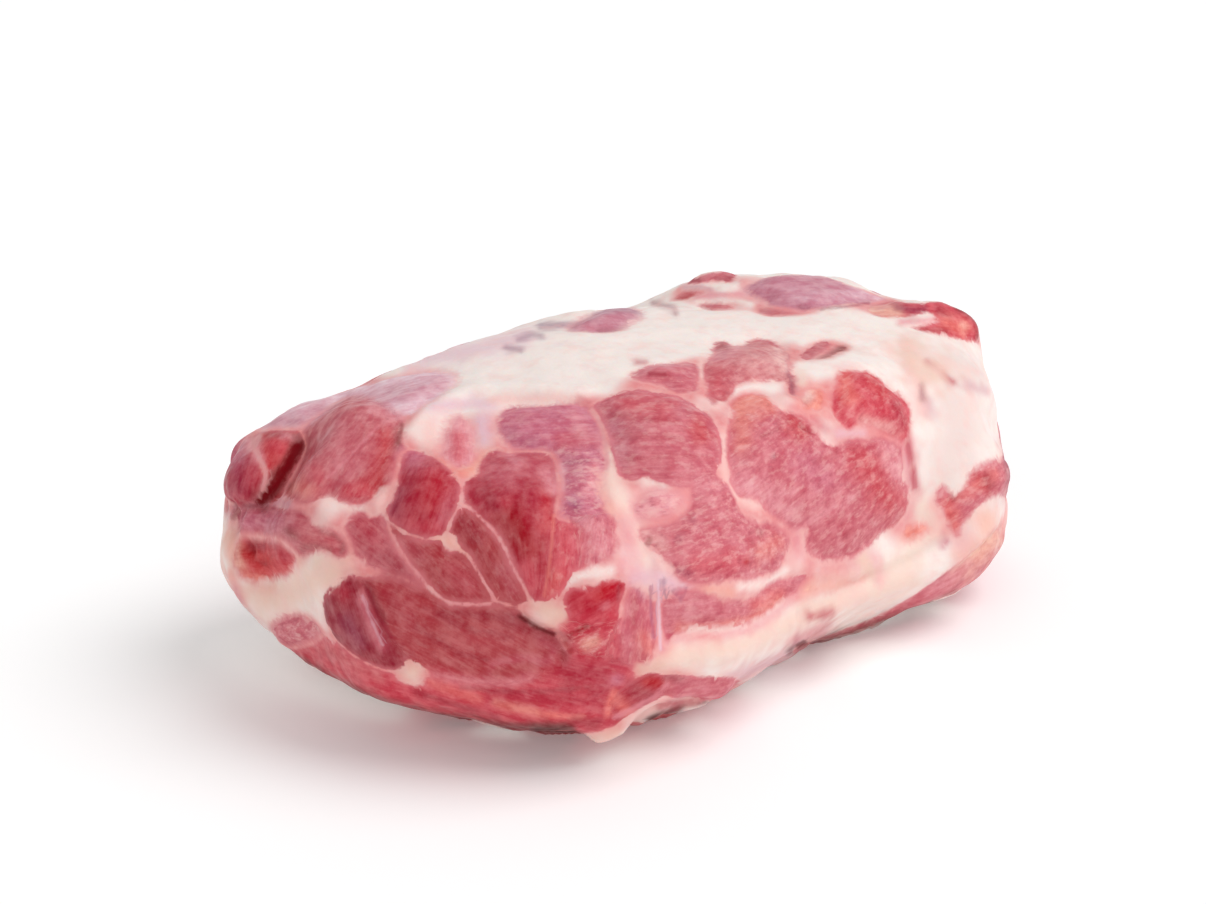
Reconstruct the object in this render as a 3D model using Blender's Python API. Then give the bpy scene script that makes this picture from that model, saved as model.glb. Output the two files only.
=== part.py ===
"""A raw boneless pork collar: one piece of meat, lying on its flattest side.

The collar runs along X, with the wide shoulder cut at -X and the narrower loin cut at +X. Its boned
side, where the neck muscles lie open, faces -Y, and the fat cap is on top. The origin is under the
middle of the meat, on the board, and +Z is up. Sizes below are in millimetres, times MM for metres.
"""

import bmesh
import bpy
import numpy as np
from mathutils import Vector, noise

MM = 0.001

# The rounded block that the cut starts from
LENGTH = 259
BLOCKINESS = 2.9  # 2 is an ellipsoid and large numbers are a brick
HEART_HEIGHT = 45  # the widest level, above the board
PRESSED_FLAT = 8  # how much of the round underside the board flattens
CELLS_ALONG, CELLS_ACROSS, CELLS_UP = 42, 27, 19

# Reach of the block at even steps from the shoulder cut to the loin cut
REACH_TO_FRONT = (76, 85, 76, 75, 84, 63)
REACH_TO_BACK = (108, 94, 75, 74, 66, 64)
HEIGHT = (88, 87, 93, 90, 93, 95)

# Swellings of the muscles and of the fat between them. Each follows a path on the meat, and has how
# wide it is on each side of the path and how far it stands out.
SWELLINGS = {
    "neck_ear": (((-116, 62, 57), (-94, 77, 60)), 13, 4),
    "shoulder_crown": (((-116, 25, 71), (-90, 26, 82)), 19, 5),
    "end_strap": (((-124, 44, 55), (-127, 6, 57)), 8, 3.5),
    "lower_ear": (((-114, 68, 33), (-126, 58, 30)), 11, 5),
    "end_round_muscle": (((-112, -12, 74),), 13, 3.5),
    "end_deep_muscle": (((-106, -40, 74), (-108, -50, 62)), 14, 3),
    "shin_lobe": (((-129, 3, 46), (-129, -9, 30)), 14, 6),
    "long_lower_muscle": (((-128, -20, 47), (-114, -52, 42)), 15, 4),
    "corner_lobe": (((-101, -65, 57), (-99, -68, 38)), 13, 6),
    "corner_foot": (((-108, -57, 8), (-100, -62, 4)), 11, 8),
    "lower_flap": (((-60, -74, 12), (-54, -76, 12)), 8, 4),
    "fat_ledge": (((-85, -75, 33), (-56, -78, 26), (-27, -74, 24), (26, -73, 26), (81, -70, 28)), 8, 5),
    "fat_band": (((-97, -64, 64), (-68, -79, 52), (-31, -77, 43), (8, -73, 37)), 6, 2.5),
    "oval_muscle": (((-62, -78, 60),), 20, 2.5),
    "grained_muscle": (((-56, -50, 83),), 20, 3),
    "eye_muscle": (((-14, -72, 70), (12, -72, 60)), 25, 4),
    "eye_crown": (((27, -60, 80),), 13, 4),
    "rough_top_muscle": (((3, -37, 91),), 11, 3.5),
    "small_top_muscle": (((-26, -28, 93),), 10, 2.5),
    "loin_flap": (((94, -36, 90), (105, -40, 87), (116, -43, 82)), 13, 10),
    "loin_cap_muscle": (((66, -4, 93), (92, 4, 88)), 17, 3),
    "cap_tuft": (((66, 34, 90),), 10, 4),
    "back_cap": (((-4, 30, 91), (20, 30, 92)), 17, 2.5),
    "loin_side_muscle": (((72, -79, 49), (52, -80, 40)), 11, 7),
    "loin_foot": (((50, -72, 12), (84, -68, 14), (112, -40, 14)), 15, 5),
    "loin_cut_eye": (((128, 8, 60),), 24, 4),
    "loin_cut_strap": (((127, -30, 40), (127, 34, 34)), 12, 3),
    "back_long_muscle": (((-60, 88, 52), (0, 74, 54), (60, 68, 52)), 16, 4),
    "back_lower_muscle": (((-40, 84, 24), (40, 70, 22)), 13, 4),
    "shoulder_foot": (((-126, 34, 10), (-126, 4, 10)), 12, 2.5),
    "back_shoulder": (((-96, 92, 40), (-80, 92, 66)), 16, 5),
}

# Folds, seams and knife marks, given the same way, with how deep they go
FOLDS = {
    "ear_fold": (((-108, 43, 76), (-117, 42, 70), (-124, 45, 60)), 8, 10),
    "under_ear_notch": (((-112, 74, 49), (-122, 56, 52), (-125, 38, 60), (-124, 18, 65)), 5, 5),
    "end_pocket": (((-128, 44, 44),), 8, 6),
    "end_fat_hollow": (((-130, 18, 47), (-128, 22, 34)), 11, 3),
    "shin_seam": (((-129, -7, 51), (-129, -12, 42), (-128, -17, 30)), 5, 3),
    "plane_seam": (((-130, -14, 56), (-125, -34, 53), (-116, -50, 53)), 5, 2.5),
    "corner_fold": (((-117, -49, 52), (-110, -58, 47), (-102, -65, 39)), 5.5, 6),
    "corner_undercut": (((-92, -72, 30), (-78, -76, 27)), 6, 3),
    "round_muscle_seam": (((-100, 10, 80), (-118, -4, 70), (-126, -24, 58)), 5, 2.5),
    "deep_muscle_seam": (((-102, -24, 80), (-112, -28, 68), (-120, -42, 55)), 5, 2),
    "open_face_seam": (((-54, -24, 91), (-72, -48, 82), (-84, -68, 68), (-87, -73, 58)), 5, 2),
    "eye_seam": (((-30, -44, 91), (-42, -62, 82), (-46, -72, 73), (-28, -78, 55)), 5, 2.5),
    "rough_seam": (((-24, -50, 88), (2, -50, 88)), 5, 3),
    "under_ledge": (((-44, -77, 10), (-14, -76, 8), (10, -75, 8)), 8, 3.5),
    "behind_flap": (((84, -54, 84), (104, -60, 70)), 9, 3),
    "loin_side_hollow": (((70, -76, 70),), 15, 3),
    "cap_dip": (((44, 30, 93), (50, 6, 94)), 9, 4),
    "back_seam": (((-96, 92, 52), (-50, 86, 40), (0, 76, 34), (48, 72, 44), (84, 62, 36)), 7, 3.5),
    "loin_cut_seam": (((126, -46, 62), (130, -12, 46), (130, 30, 46), (124, 50, 62)), 6, 3),
}

SOFTENING = 2  # how many times the surface is eased after the relief

# Unevenness of the whole surface, as bumps of two sizes: (bump size, height)
UNEVENNESS = ((34, 2.2), (15, 1))

MEAT_COLOUR = (0.62, 0.19, 0.21, 1)
MEAT_ROUGHNESS = 0.42


def through_stations(values, along):
    """A smooth curve through values that are evenly spaced for along from -1 to 1."""
    last = len(values) - 1
    first_extra = 2 * values[0] - values[1]
    last_extra = 2 * values[last] - values[last - 1]
    knots = np.array([first_extra, *values, last_extra], float)
    place = (along + 1) / 2 * last
    span = np.clip(np.floor(place).astype(int), 0, last - 1)
    part = place - span
    before, start, end, after = (knots[span + step] for step in range(4))
    bend = 2 * before - 5 * start + 4 * end - after + part * (3 * (start - end) + after - before)
    return start + 0.5 * part * (end - before + part * bend)


def smooth_path(corners, steps=8):
    """Points along a smooth curve through a path's corners."""
    corners = np.array(corners, float)
    if len(corners) == 1:
        return corners
    along = np.linspace(-1, 1, steps * (len(corners) - 1) + 1)
    return np.stack([through_stations(corners[:, axis], along) for axis in range(3)], axis=1)


def distance_to_path(points, corners):
    """How far each point is from the nearest of a path's points."""
    path = smooth_path(corners)
    return np.linalg.norm(points[:, None] - path[None], axis=2).min(axis=1)


def unit_box():
    """A box from -1 to 1, cut into cells along its three axes."""
    mesh = bmesh.new()
    bmesh.ops.create_cube(mesh, size=2)
    for axis, cells in enumerate((CELLS_ALONG, CELLS_ACROSS, CELLS_UP)):
        lengthwise = [
            edge
            for edge in mesh.edges
            if abs(edge.verts[0].co[axis] - edge.verts[1].co[axis]) > 1
        ]
        bmesh.ops.subdivide_edges(mesh, edges=lengthwise, cuts=cells - 1, use_grid_fill=True)
    return mesh


def rounded_block(box):
    """The box's points moved out to a rounded block with the collar's reach at each station."""
    size = (np.abs(box) ** BLOCKINESS).sum(axis=1) ** (1 / BLOCKINESS)
    along, across, up = (box / size[:, None]).T
    to_front = through_stations(REACH_TO_FRONT, along)
    to_back = through_stations(REACH_TO_BACK, along)
    above_heart = through_stations(HEIGHT, along) - HEART_HEIGHT
    below_heart = HEART_HEIGHT + PRESSED_FLAT
    return np.stack(
        [
            along * LENGTH / 2,
            across * np.where(across < 0, to_front, to_back),
            HEART_HEIGHT + up * np.where(up > 0, above_heart, below_heart),
        ],
        axis=1,
    )


def outward(mesh, points):
    """Puts the points, in millimetres, in the mesh, and gives the way out at each."""
    for vertex, point in zip(mesh.verts, points):
        vertex.co = point
    mesh.normal_update()
    return np.array([vertex.normal for vertex in mesh.verts])


def raise_relief(mesh, points, features, way):
    """The points moved out (way 1) or in (way -1) along each feature's path."""
    out = outward(mesh, points)
    moved = points.copy()
    for path, width, rise in features.values():
        share = np.exp(-((distance_to_path(points, path) / width) ** 2))
        moved += way * rise * share[:, None] * out
    return moved


def add_unevenness(mesh, points):
    """The points moved by smooth noise, as cut meat is never even."""
    out = outward(mesh, points)
    rise = np.zeros(len(points))
    for bump, height in UNEVENNESS:
        rise += [height * noise.noise(Vector(point) / bump) for point in points]
    return points + rise[:, None] * out


def softened(mesh, points):
    """The points eased towards their neighbours, as wet meat holds no sharp edge."""
    outward(mesh, points)
    for _ in range(SOFTENING):
        bmesh.ops.smooth_vert(
            mesh,
            verts=mesh.verts,
            factor=0.5,
            use_axis_x=True,
            use_axis_y=True,
            use_axis_z=True,
        )
    return np.array([vertex.co for vertex in mesh.verts])


def collar_mesh():
    """The meat as one closed mesh, in metres, standing on z = 0."""
    mesh = unit_box()
    points = rounded_block(np.array([vertex.co for vertex in mesh.verts]))
    points = raise_relief(mesh, points, SWELLINGS, 1)
    points = raise_relief(mesh, points, FOLDS, -1)
    points = add_unevenness(mesh, points)
    points = softened(mesh, points)
    points[:, 2] = np.maximum(points[:, 2], 0)
    points[:, :2] -= (points[:, :2].min(axis=0) + points[:, :2].max(axis=0)) / 2
    outward(mesh, points * MM)
    made = bpy.data.meshes.new("pork_collar")
    mesh.to_mesh(made)
    mesh.free()
    made.shade_smooth()
    return made


def raw_pork():
    """Moist raw meat."""
    material = bpy.data.materials.new("raw_pork")
    material.use_nodes = True
    shader = material.node_tree.nodes["Principled BSDF"]
    shader.inputs["Base Color"].default_value = MEAT_COLOUR
    shader.inputs["Roughness"].default_value = MEAT_ROUGHNESS
    shader.inputs["Metallic"].default_value = 0
    material.diffuse_color = MEAT_COLOUR
    return material


def main():
    for old in list(bpy.data.objects):
        bpy.data.objects.remove(old)
    cut = bpy.data.collections.new("pork_collar")
    bpy.context.scene.collection.children.link(cut)
    collar = bpy.data.objects.new("pork_collar", collar_mesh())
    collar.data.materials.append(raw_pork())
    cut.objects.link(collar)


main()
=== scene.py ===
"""The looks of a raw boneless pork collar: its open muscles, the fat between them and the moist surface.

The muscles are drawn on charts, as a butcher's poster shows them. A chart is a flat picture plane through
the heart of the cut, seen from one side, and a place on it is given in millimetres across and up from the
heart. Each outline is then laid on the meat itself, so it stays where it is when seen from any side.
"""

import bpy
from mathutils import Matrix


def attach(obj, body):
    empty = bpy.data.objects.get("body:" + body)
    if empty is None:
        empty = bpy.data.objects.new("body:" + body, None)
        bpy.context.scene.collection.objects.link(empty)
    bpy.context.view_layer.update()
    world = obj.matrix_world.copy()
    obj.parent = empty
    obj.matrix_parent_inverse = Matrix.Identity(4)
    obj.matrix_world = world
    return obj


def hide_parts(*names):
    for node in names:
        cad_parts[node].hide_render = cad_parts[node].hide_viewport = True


bl_info = {
    "name": "Pork collar",
    "version": (1, 0, 0),
    "blender": (4, 5, 0),
    "location": "View3D > Sidebar > Pork collar",
    "description": "Dresses the solid of a boneless pork collar as raw meat, and sets its stage",
    "category": "Object",
}

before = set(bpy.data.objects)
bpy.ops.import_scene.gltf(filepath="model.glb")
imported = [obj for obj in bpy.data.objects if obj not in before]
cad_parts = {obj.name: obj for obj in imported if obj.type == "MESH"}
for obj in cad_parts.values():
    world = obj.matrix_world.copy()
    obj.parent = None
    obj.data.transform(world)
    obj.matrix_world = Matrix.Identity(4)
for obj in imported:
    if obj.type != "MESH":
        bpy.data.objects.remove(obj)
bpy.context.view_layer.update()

import math

import bmesh
import bpy
import numpy as np
from bpy.props import FloatProperty, FloatVectorProperty
from mathutils import Vector, noise
from mathutils.bvhtree import BVHTree

MM = 0.001

# The image, and how far the heart of the cut lies from its middle, in pixels
IMAGE_WIDTH = 1206
SHIFT_ACROSS, SHIFT_UP = -49.6, 29.5

# The heart of the cut, and the eye that each chart and the camera look from, in millimetres and degrees
HEART = np.array((1.5, -1.4, 45))
EYE_DISTANCE = 893
BONED_SIDE_AZIMUTH, BONED_SIDE_ELEVATION = -49, 20

# Meat tones, as sRGB
TONES = {
    "crimson": "#B3213C",
    "deep_crimson": "#A6001A",
    "wine": "#99112E",
    "cut_red": "#C40011",
    "red": "#CC2E39",
    "rose_red": "#D34354",
    "rose": "#D06876",
    "pale_rose": "#E897A0",
    "dusk_rose": "#C65E69",
    "brick": "#D1646A",
    "brown_red": "#B53E46",
    "coral": "#EC746D",
    "salmon": "#EE8A7D",
    "peach": "#F6B9A6",
    "mauve": "#CE8A9A",
    "mauve_rose": "#CC6D84",
    "pale_mauve": "#EAC2CE",
    "violet": "#AC5776",
    "plum": "#932B4B",
    "brown": "#974D4D",
    "dark_wine": "#6D000B",
    # Painted shadow deep in the fold at the ear
    "dark_blood": "#7C0010",
    # Painted shadow along the bottom edges, where the meat meets the floor
    "blood": "#520006",
    "carmine": "#C00A30",
    "dusk_violet": "#96647F",
    "window_rose": "#CE8799",
    "skin": "#E2A0A0",
    "fat": "#F8EAE4",
    "cream_fat": "#F5DCCF",
    "dull_fat": "#EBD3CE",
    "beige_fat": "#EFC9B9",
    "pink_fat": "#F6C8C2",
    "seam": "#EB9090",
    "halo": "#E98C93",
}

# Each muscle has its tone, the way its grain runs in degrees from across the chart, how much fat is
# marbled through it and how hazy its border is, both from 0 to 1, and its outline, in millimetres across
# and up the chart.
BONED_SIDE_MUSCLES = {
    "ear_edge": ("crimson", 75, 0.1, 0.2, (
        (-126.2, 13.5), (-125.2, 9.9), (-123, 5.5), (-122, 1.7), (-122.8, -2), (-124, -5), (-126.5, -6.3),
        (-131, -6.5), (-137, -5), (-136, 4), (-131, 12))),
    "ear_inner": ("red", 60, 0.03, 0, (
        (-124.8, 14.3), (-124, 10), (-121.6, 5.5), (-120.6, 1.7), (-121.4, -2.2), (-122.6, -6.4),
        (-119, -6), (-116, -4), (-113.5, 0.5), (-110.6, 6), (-109.2, 10), (-109.2, 13.5), (-112, 15.8),
        (-118, 16))),
    "ear_top": ("pale_mauve", 25, 0, 0.9, (
        (-126, 17), (-119, 17), (-111, 17), (-104, 21.5), (-98, 25.5), (-92, 27.5), (-90, 31), (-103, 31),
        (-112, 28), (-124, 22))),
    "shoulder_crown": ("dusk_rose", 58, 0.2, 0.3, (
        (-109.5, 16), (-104, 21), (-98, 25), (-92, 27), (-86, 25.5), (-80, 21), (-77.8, 16.5), (-79, 9),
        (-81.2, 3), (-84.8, -2.4), (-89.6, -6.2), (-97, -6.8), (-102, -4.6), (-106, -6.3), (-110, -6.3),
        (-114.5, -4.5), (-115.6, -1.5), (-112.6, 2), (-110, 7), (-108.4, 11))),
    "crown_film": ("pale_mauve", 15, 0, 1, (
        (-94, 27.5), (-86, 31.2), (-78, 33.4), (-68, 34.8), (-62, 33.6), (-61.4, 30.5), (-66, 27),
        (-71, 24), (-77, 20.5), (-82, 22), (-88, 25.5))),
    "end_strap": ("dusk_rose", -15, 0.15, 0.35, (
        (-130, -9.8), (-125, -8.3), (-120, -8), (-115, -9), (-110.6, -9.8), (-107.4, -11.4),
        (-103, -14.4), (-99.3, -16), (-95.4, -19.8), (-97, -23.2), (-101, -23.6), (-104.3, -22.4),
        (-108.7, -23.4), (-111.4, -22), (-115.6, -19.2), (-118, -17.8), (-122, -17.6), (-127, -16.4),
        (-130.6, -14.4))),
    "shank_pit": ("red", 0, 0, 0.45, (
        (-131, -20), (-128, -17.8), (-124, -17.2), (-119, -18), (-115, -20), (-112.2, -24), (-113.6, -29),
        (-119, -31), (-124, -32), (-128, -31), (-130.5, -28), (-132, -24))),
    "small_shin": ("rose", 20, 0.6, 0.5, (
        (-120, -45), (-116, -42), (-110, -41.5), (-106, -44), (-104, -48), (-106, -52), (-112, -52.5),
        (-117, -50))),
    "shin_lobe": ("wine", -70, 0.1, 0, (
        (-103, -36), (-99, -32), (-94, -30), (-90.5, -31.5), (-88.5, -36), (-85, -43), (-82, -49),
        (-78, -53), (-79, -57.5), (-84, -58.5), (-90, -56.5), (-95, -53), (-100, -48), (-103, -42))),
    "long_plane": ("brown_red", -28, 0.1, 0.1, (
        (-90.5, -31), (-86, -29.8), (-81.7, -30.6), (-76, -32.4), (-71, -33.9), (-67.5, -37),
        (-63.5, -39), (-57, -39.4), (-48, -39.6), (-42, -41.4), (-37, -45), (-31, -47.9), (-27.5, -50.9),
        (-27, -54), (-28, -58.5), (-38, -63), (-48, -65), (-58, -63.5), (-67, -60.5), (-74, -56.5),
        (-79.5, -53), (-84, -48), (-87.5, -41), (-90, -35))),
    "bottom_plane": ("rose_red", -14, 0.1, 0.1, (
        (-107, -49.5), (-103, -49), (-99, -51), (-93, -55.5), (-87, -58.5), (-82, -60.5), (-80, -62.5),
        (-73, -64), (-69.5, -61), (-66, -58.5), (-60, -60), (-50, -62), (-40, -60.5), (-32, -57.5),
        (-27.5, -54.5), (-24, -53), (-16, -54.5), (-9, -56.5), (-6, -60), (-8, -64), (-11, -68),
        (-11, -75), (-20, -79), (-40, -84), (-70, -78), (-100, -66), (-114, -55), (-110, -50.5))),
    "foot_red": ("crimson", 30, 0.1, 0.1, (
        (-14, -69), (-11, -66), (-7, -63.5), (-2.7, -60.6), (1, -60.3), (4.5, -61.8), (6, -64), (3, -67),
        (-1, -69.6), (-7, -72.8), (-12, -75.5), (-13.5, -73))),
    "foot_rose": ("rose", 5, 0.2, 0.1, (
        (4, -61), (9, -61), (14, -61), (22, -61), (27, -62.4), (25, -67), (18, -68.6), (11, -68),
        (6, -67.6), (3.6, -65))),
    "fan_low": ("brown_red", -42, 0.15, 0, (
        (-82, -14.3), (-77.5, -16.9), (-72, -18.9), (-67.2, -19), (-64.5, -21.8), (-60, -24), (-57, -28),
        (-54.4, -32.4), (-51.4, -36.8), (-57, -37.6), (-63, -37), (-66.5, -34.9), (-71.4, -30.4),
        (-76, -24.8), (-79.5, -19.2))),
    "fan_edge": ("dusk_rose", -40, 0.15, 0.2, (
        (-95.5, -12.5), (-92, -10.5), (-88, -10.8), (-84.6, -11.5), (-83, -16), (-80.6, -20.5),
        (-77, -26), (-72.4, -31.7), (-78, -30), (-84, -28), (-90, -25.2), (-93.5, -21), (-95.5, -17))),
    "round_muscle": ("crimson", 70, 0.05, 0, (
        (-78.6, 8.2), (-74, 9.3), (-69, 7), (-64.8, 4), (-62.2, 0.5), (-61.4, -4), (-62.4, -8.5),
        (-64.4, -12.5), (-67, -16.3), (-72, -17.1), (-78, -15.1), (-81.6, -12.3), (-82.6, -9),
        (-80.8, -4.5), (-79, 0), (-79, 4.5))),
    "pale_bud": ("pale_rose", 90, 0, 0.8, (
        (-66.5, 13), (-65, 18), (-60.5, 21), (-56, 17.5), (-55.5, 11), (-57, 6), (-61, 4.5), (-65.5, 8))),
    "film_top": ("mauve_rose", 2, 0.25, 0.4, (
        (-49, 19), (-46, 23), (-38, 24), (-30, 24.5), (-23, 24), (-18.6, 20), (-16.8, 16), (-16, 11),
        (-26, 10), (-32, 9.8), (-39, 10), (-44, 11), (-48, 14))),
    "film_low": ("mauve_rose", 5, 0.6, 0.6, (
        (-31, 10.5), (-24, 11.5), (-17, 11), (-14.6, 7), (-15.5, 2), (-16, -4), (-15.5, -10), (-20, -13),
        (-27, -12.5), (-29.5, -10.5), (-29, -4), (-29, 3))),
    "deep_muscle": ("crimson", (-37, -52), 0.1, 0.1, (
        (-57.5, 0), (-55, 2), (-53, 6), (-50, 9.5), (-45, 8.5), (-38, 9), (-32, 8), (-29.8, 2),
        (-29.8, -4), (-31, -11), (-31.8, -17), (-32.6, -23), (-33.8, -30), (-35, -36.5), (-38.4, -36),
        (-40.6, -31.5), (-43.6, -25.8), (-46.2, -20), (-49.4, -15), (-53.4, -11), (-57.5, -7.8),
        (-58.3, -5.5))),
    "fan_strip": ("brown_red", -62, 0.15, 0, (
        (-61.6, -11), (-60, -8.8), (-57.6, -8.8), (-54, -12.3), (-50, -16.5), (-46.8, -21.2),
        (-44.4, -26.8), (-41.4, -32.4), (-39.8, -36.4), (-44, -37.5), (-48.4, -35.6), (-51.4, -31),
        (-53.8, -26.2), (-56.8, -21.8), (-60, -19.2), (-62.4, -16.6), (-62.6, -13.5))),
    "red_strip": ("rose_red", 85, 0.3, 0, (
        (-30.3, -12), (-25, -13), (-22.5, -18), (-22.5, -25.5), (-26, -29), (-31, -36), (-34.2, -36.4),
        (-33, -29.5), (-31.8, -22), (-31, -17))),
    "pink_strip": ("rose", 80, 0.35, 0.5, (
        (-24.5, -11), (-18, -9.5), (-13, -11), (-11, -15), (-10.5, -20), (-13, -24.5), (-18, -26),
        (-23.5, -26))),
    "bright_cut": ("carmine", 30, 0.05, 0, (
        (-27, -37.5), (-25.8, -35.2), (-22.5, -33.6), (-16, -31.6), (-11, -30.8), (-9.4, -31.9),
        (-9.5, -35), (-10.5, -38.8), (-9.5, -42.5), (-12.6, -44.9), (-17, -45.6), (-22.5, -45),
        (-26, -42))),
    "corner_mottle": ("rose_red", 20, 0.6, 0.6, (
        (-28, -44.5), (-24, -43.5), (-20, -44.5), (-16, -44), (-12, -43), (-10.5, -46), (-12, -50),
        (-12.5, -54.5), (-16, -55.5), (-22, -54.5), (-27, -52), (-28.5, -48))),
    "corner_rose": ("rose", 80, 0.3, 0.4, (
        (-9.5, -40), (-8, -36), (-5, -33), (-2, -34), (0, -38), (0.5, -45), (1, -51), (0, -55.5),
        (-4, -57), (-9, -57), (-15, -54.5), (-14, -49), (-12, -44.5))),
    "side_band": ("rose", 6, 0.3, 0.3, (
        (4, -37), (9, -34.7), (14, -35.2), (20, -36.5), (26, -37.2), (32, -35.7), (38, -32), (44, -29.8),
        (48, -30), (44, -35), (38, -40), (30, -44.7), (22, -46.5), (14, -46.3), (9, -47.5), (5, -50.5),
        (3.5, -45))),
    "side_tail": ("peach", 10, 0.3, 1, (
        (47, -33), (55, -31.5), (62, -31), (67, -29.5), (65, -31.5), (58, -33.5), (50, -35.4))),
    "loin_foot": ("rose", 28, 0.2, 0.3, (
        (45, -51.8), (52, -49.4), (60, -46.4), (70, -42.2), (80, -36.8), (87, -32), (93, -27.6),
        (98.5, -23.4), (104, -18), (107, -14.6), (109, -17), (108, -22.6), (104.6, -28), (101, -33),
        (97, -37), (88, -41.5), (80, -44.5), (68, -49), (56, -53), (46, -55))),
    "grained_muscle": ("rose", 2, 0.35, 0, (
        (-17.5, 24), (-14, 26.5), (-8, 28.5), (-2, 28.5), (4, 27), (9, 26), (13, 24), (17.5, 21),
        (20, 16), (20.7, 10), (20.3, 5), (18, 1.5), (13, 0), (9, -2), (5, -2), (3, 0), (-1, 1.5),
        (-6, 0.5), (-9.5, 1), (-11, 6), (-12.5, 12), (-14, 17), (-16.5, 21))),
    "small_top": ("rose", 0, 0.3, 0.2, (
        (-6.6, 33.2), (-2.6, 36.1), (4, 36.9), (12.8, 36.8), (13.4, 31), (13, 28.2), (8, 28.2), (4, 29.8),
        (-0.5, 31), (-4, 31.6))),
    "rough_top": ("dusk_rose", 25, 0.3, 0.2, (
        (16.8, 35.5), (18, 40), (19.8, 43.6), (23, 44), (26, 42.4), (31.9, 44.6), (38, 44), (41.6, 41),
        (43.4, 37), (44.8, 33), (44.9, 29.6), (43.8, 27.2), (42.6, 28.8), (41.8, 31.4), (38, 31.2),
        (32, 31.5), (27, 30.6), (24.4, 28), (21.8, 25.4), (18.6, 26.4), (17.6, 30))),
    "top_sliver": ("dusk_rose", 12, 0.3, 0.3, (
        (46.5, 39.4), (49.5, 42.4), (53.6, 44), (55.4, 43), (53.6, 40.6), (50.6, 38.6), (48, 38.2))),
    "eye_muscle": ("rose", 35, 0.4, 0.2, (
        (24, 19), (24.4, 22.3), (26.8, 25.6), (30.5, 27.4), (35, 27.2), (38, 25.4), (40, 22.8),
        (42, 22.5), (46, 20.5), (51, 17), (53.5, 13), (57, 12), (62, 12.7), (68, 13), (73, 12.8),
        (77, 11), (78.6, 6.5), (78.8, 1.5), (80, -2.5), (80, -7.5), (77, -12.5), (71, -17.5), (67, -21),
        (62, -24), (54, -24.8), (48.6, -22.6), (47, -19), (47.6, -15.4), (45, -14.8), (42, -12.6),
        (38, -9.8), (33, -7.2), (28, -4.8), (25.4, -1.6), (24.5, 4), (24, 10))),
    "eye_crown": ("rose_red", 40, 0.3, 0.3, (
        (58, 34), (62, 35), (66.5, 34.8), (70.5, 32.8), (75, 29), (79, 26), (81, 22), (80.8, 17),
        (79.6, 13.5), (76.5, 13.4), (73, 15.4), (70, 17.2), (66, 17.6), (61, 17), (57, 20), (57, 27))),
    "oval_muscle": ("rose", 20, 0.45, 0.3, (
        (10, -6.5), (12.5, -1.5), (15, 1.8), (19, 2), (23, -1), (25.3, -5), (27, -8.5), (31, -12),
        (37, -13.5), (41.3, -16.5), (43, -20), (41, -25.3), (36, -29), (29, -31), (22, -31.5),
        (15, -31.3), (9, -30.5), (5, -27.5), (2, -24), (-1, -21), (-4, -18), (-4, -15.6), (0, -13.4),
        (6, -11))),
    "thin_lean": ("pale_rose", 10, 0.7, 1, (
        (-6, -6), (-2, -3.2), (4, -2), (9, -3.4), (12, -7), (9, -11), (3, -13), (-3, -12), (-7, -9))),
    "loin_side": ("rose", 30, 0.4, 0.3, (
        (88.3, -3), (91, -1), (94.5, -3.6), (98, -0.8), (99.8, 3.2), (104.2, 5.8), (109.5, 7.8),
        (111.4, 9.6), (115, 8), (115, -4), (107, -4.8), (102.4, -8.3), (98, -12.7), (95.4, -17.2),
        (92.7, -14.5), (90.6, -9.2), (88.2, -6.5))),
    "peach_patch": ("salmon", 30, 0.2, 0.7, (
        (78.5, -17.5), (80, -13.6), (85.5, -12.6), (87.5, -15), (84.5, -18), (80.6, -19.4))),
    "loin_flap": ("rose_red", 0, 0.15, 0.2, (
        (67.4, 54), (72, 56), (77, 56.4), (82, 56), (90, 56.4), (98, 55), (103, 51), (105, 46),
        (102.6, 43.4), (98, 44), (94, 45), (89.4, 46), (84, 47.2), (81, 48.4), (85, 48.9), (88, 50),
        (88.4, 51.8), (86.4, 52.8), (83, 52.2), (78, 51.4), (72, 51.6), (68.6, 52.6))),
    "cap_window": ("window_rose", 3, 0, 0.5, (
        (28.5, 60.2), (32, 62.6), (37, 64.2), (45, 64.9), (52, 64.7), (58, 63), (64, 60.8), (70, 58.4),
        (73, 57), (69, 56.2), (62, 55.6), (55, 54.4), (50, 53.6), (44, 54), (38, 55.4), (32, 57.4))),
    "cap_red_high": ("rose", 5, 0.2, 0.3, (
        (11, 62), (12, 63.6), (16, 64.8), (21, 65.9), (25.6, 65.5), (26.4, 63.8), (25, 62.5), (21, 62.3),
        (16, 62.4))),
    "cap_red_middle": ("brick", 8, 0.2, 0.5, (
        (6.6, 57), (8.6, 58.9), (12.6, 59.8), (16, 59.2), (13, 57.9), (9.6, 56.8))),
    "cap_red_low": ("dusk_rose", 0, 0.3, 0.7, (
        (15, 55.6), (20, 56), (26, 55.6), (25.5, 54.1), (20, 53.5), (16, 54))),
    "cap_sliver": ("dusk_rose", 0, 0.2, 0.8, (
        (32.5, 53.6), (37, 54.2), (44, 53.2), (43.5, 52.5), (37, 51.7))),
    "cap_film": ("mauve", 2, 0, 0.9, (
        (-27, 47.4), (-23.6, 50.6), (-17, 53.6), (-10, 54.6), (-4, 53.8), (-3, 51.4), (-6, 49.4),
        (-9.5, 47.3), (-16, 46.6), (-22, 46.8))),
    "eye_coral": ("salmon", 60, 0.2, 0.4, (
        (47, 23.6), (47.4, 27.2), (50, 29.2), (53, 28.4), (53.4, 25), (52, 22.4), (49, 22.2))),
    "sliver_side": ("brown", 15, 0.2, 0.7, (
        (50.8, 38.6), (54, 40.4), (57, 41.8), (60.4, 42.6), (61.6, 41.6), (58, 40.2), (54.5, 38.8))),
}

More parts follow.
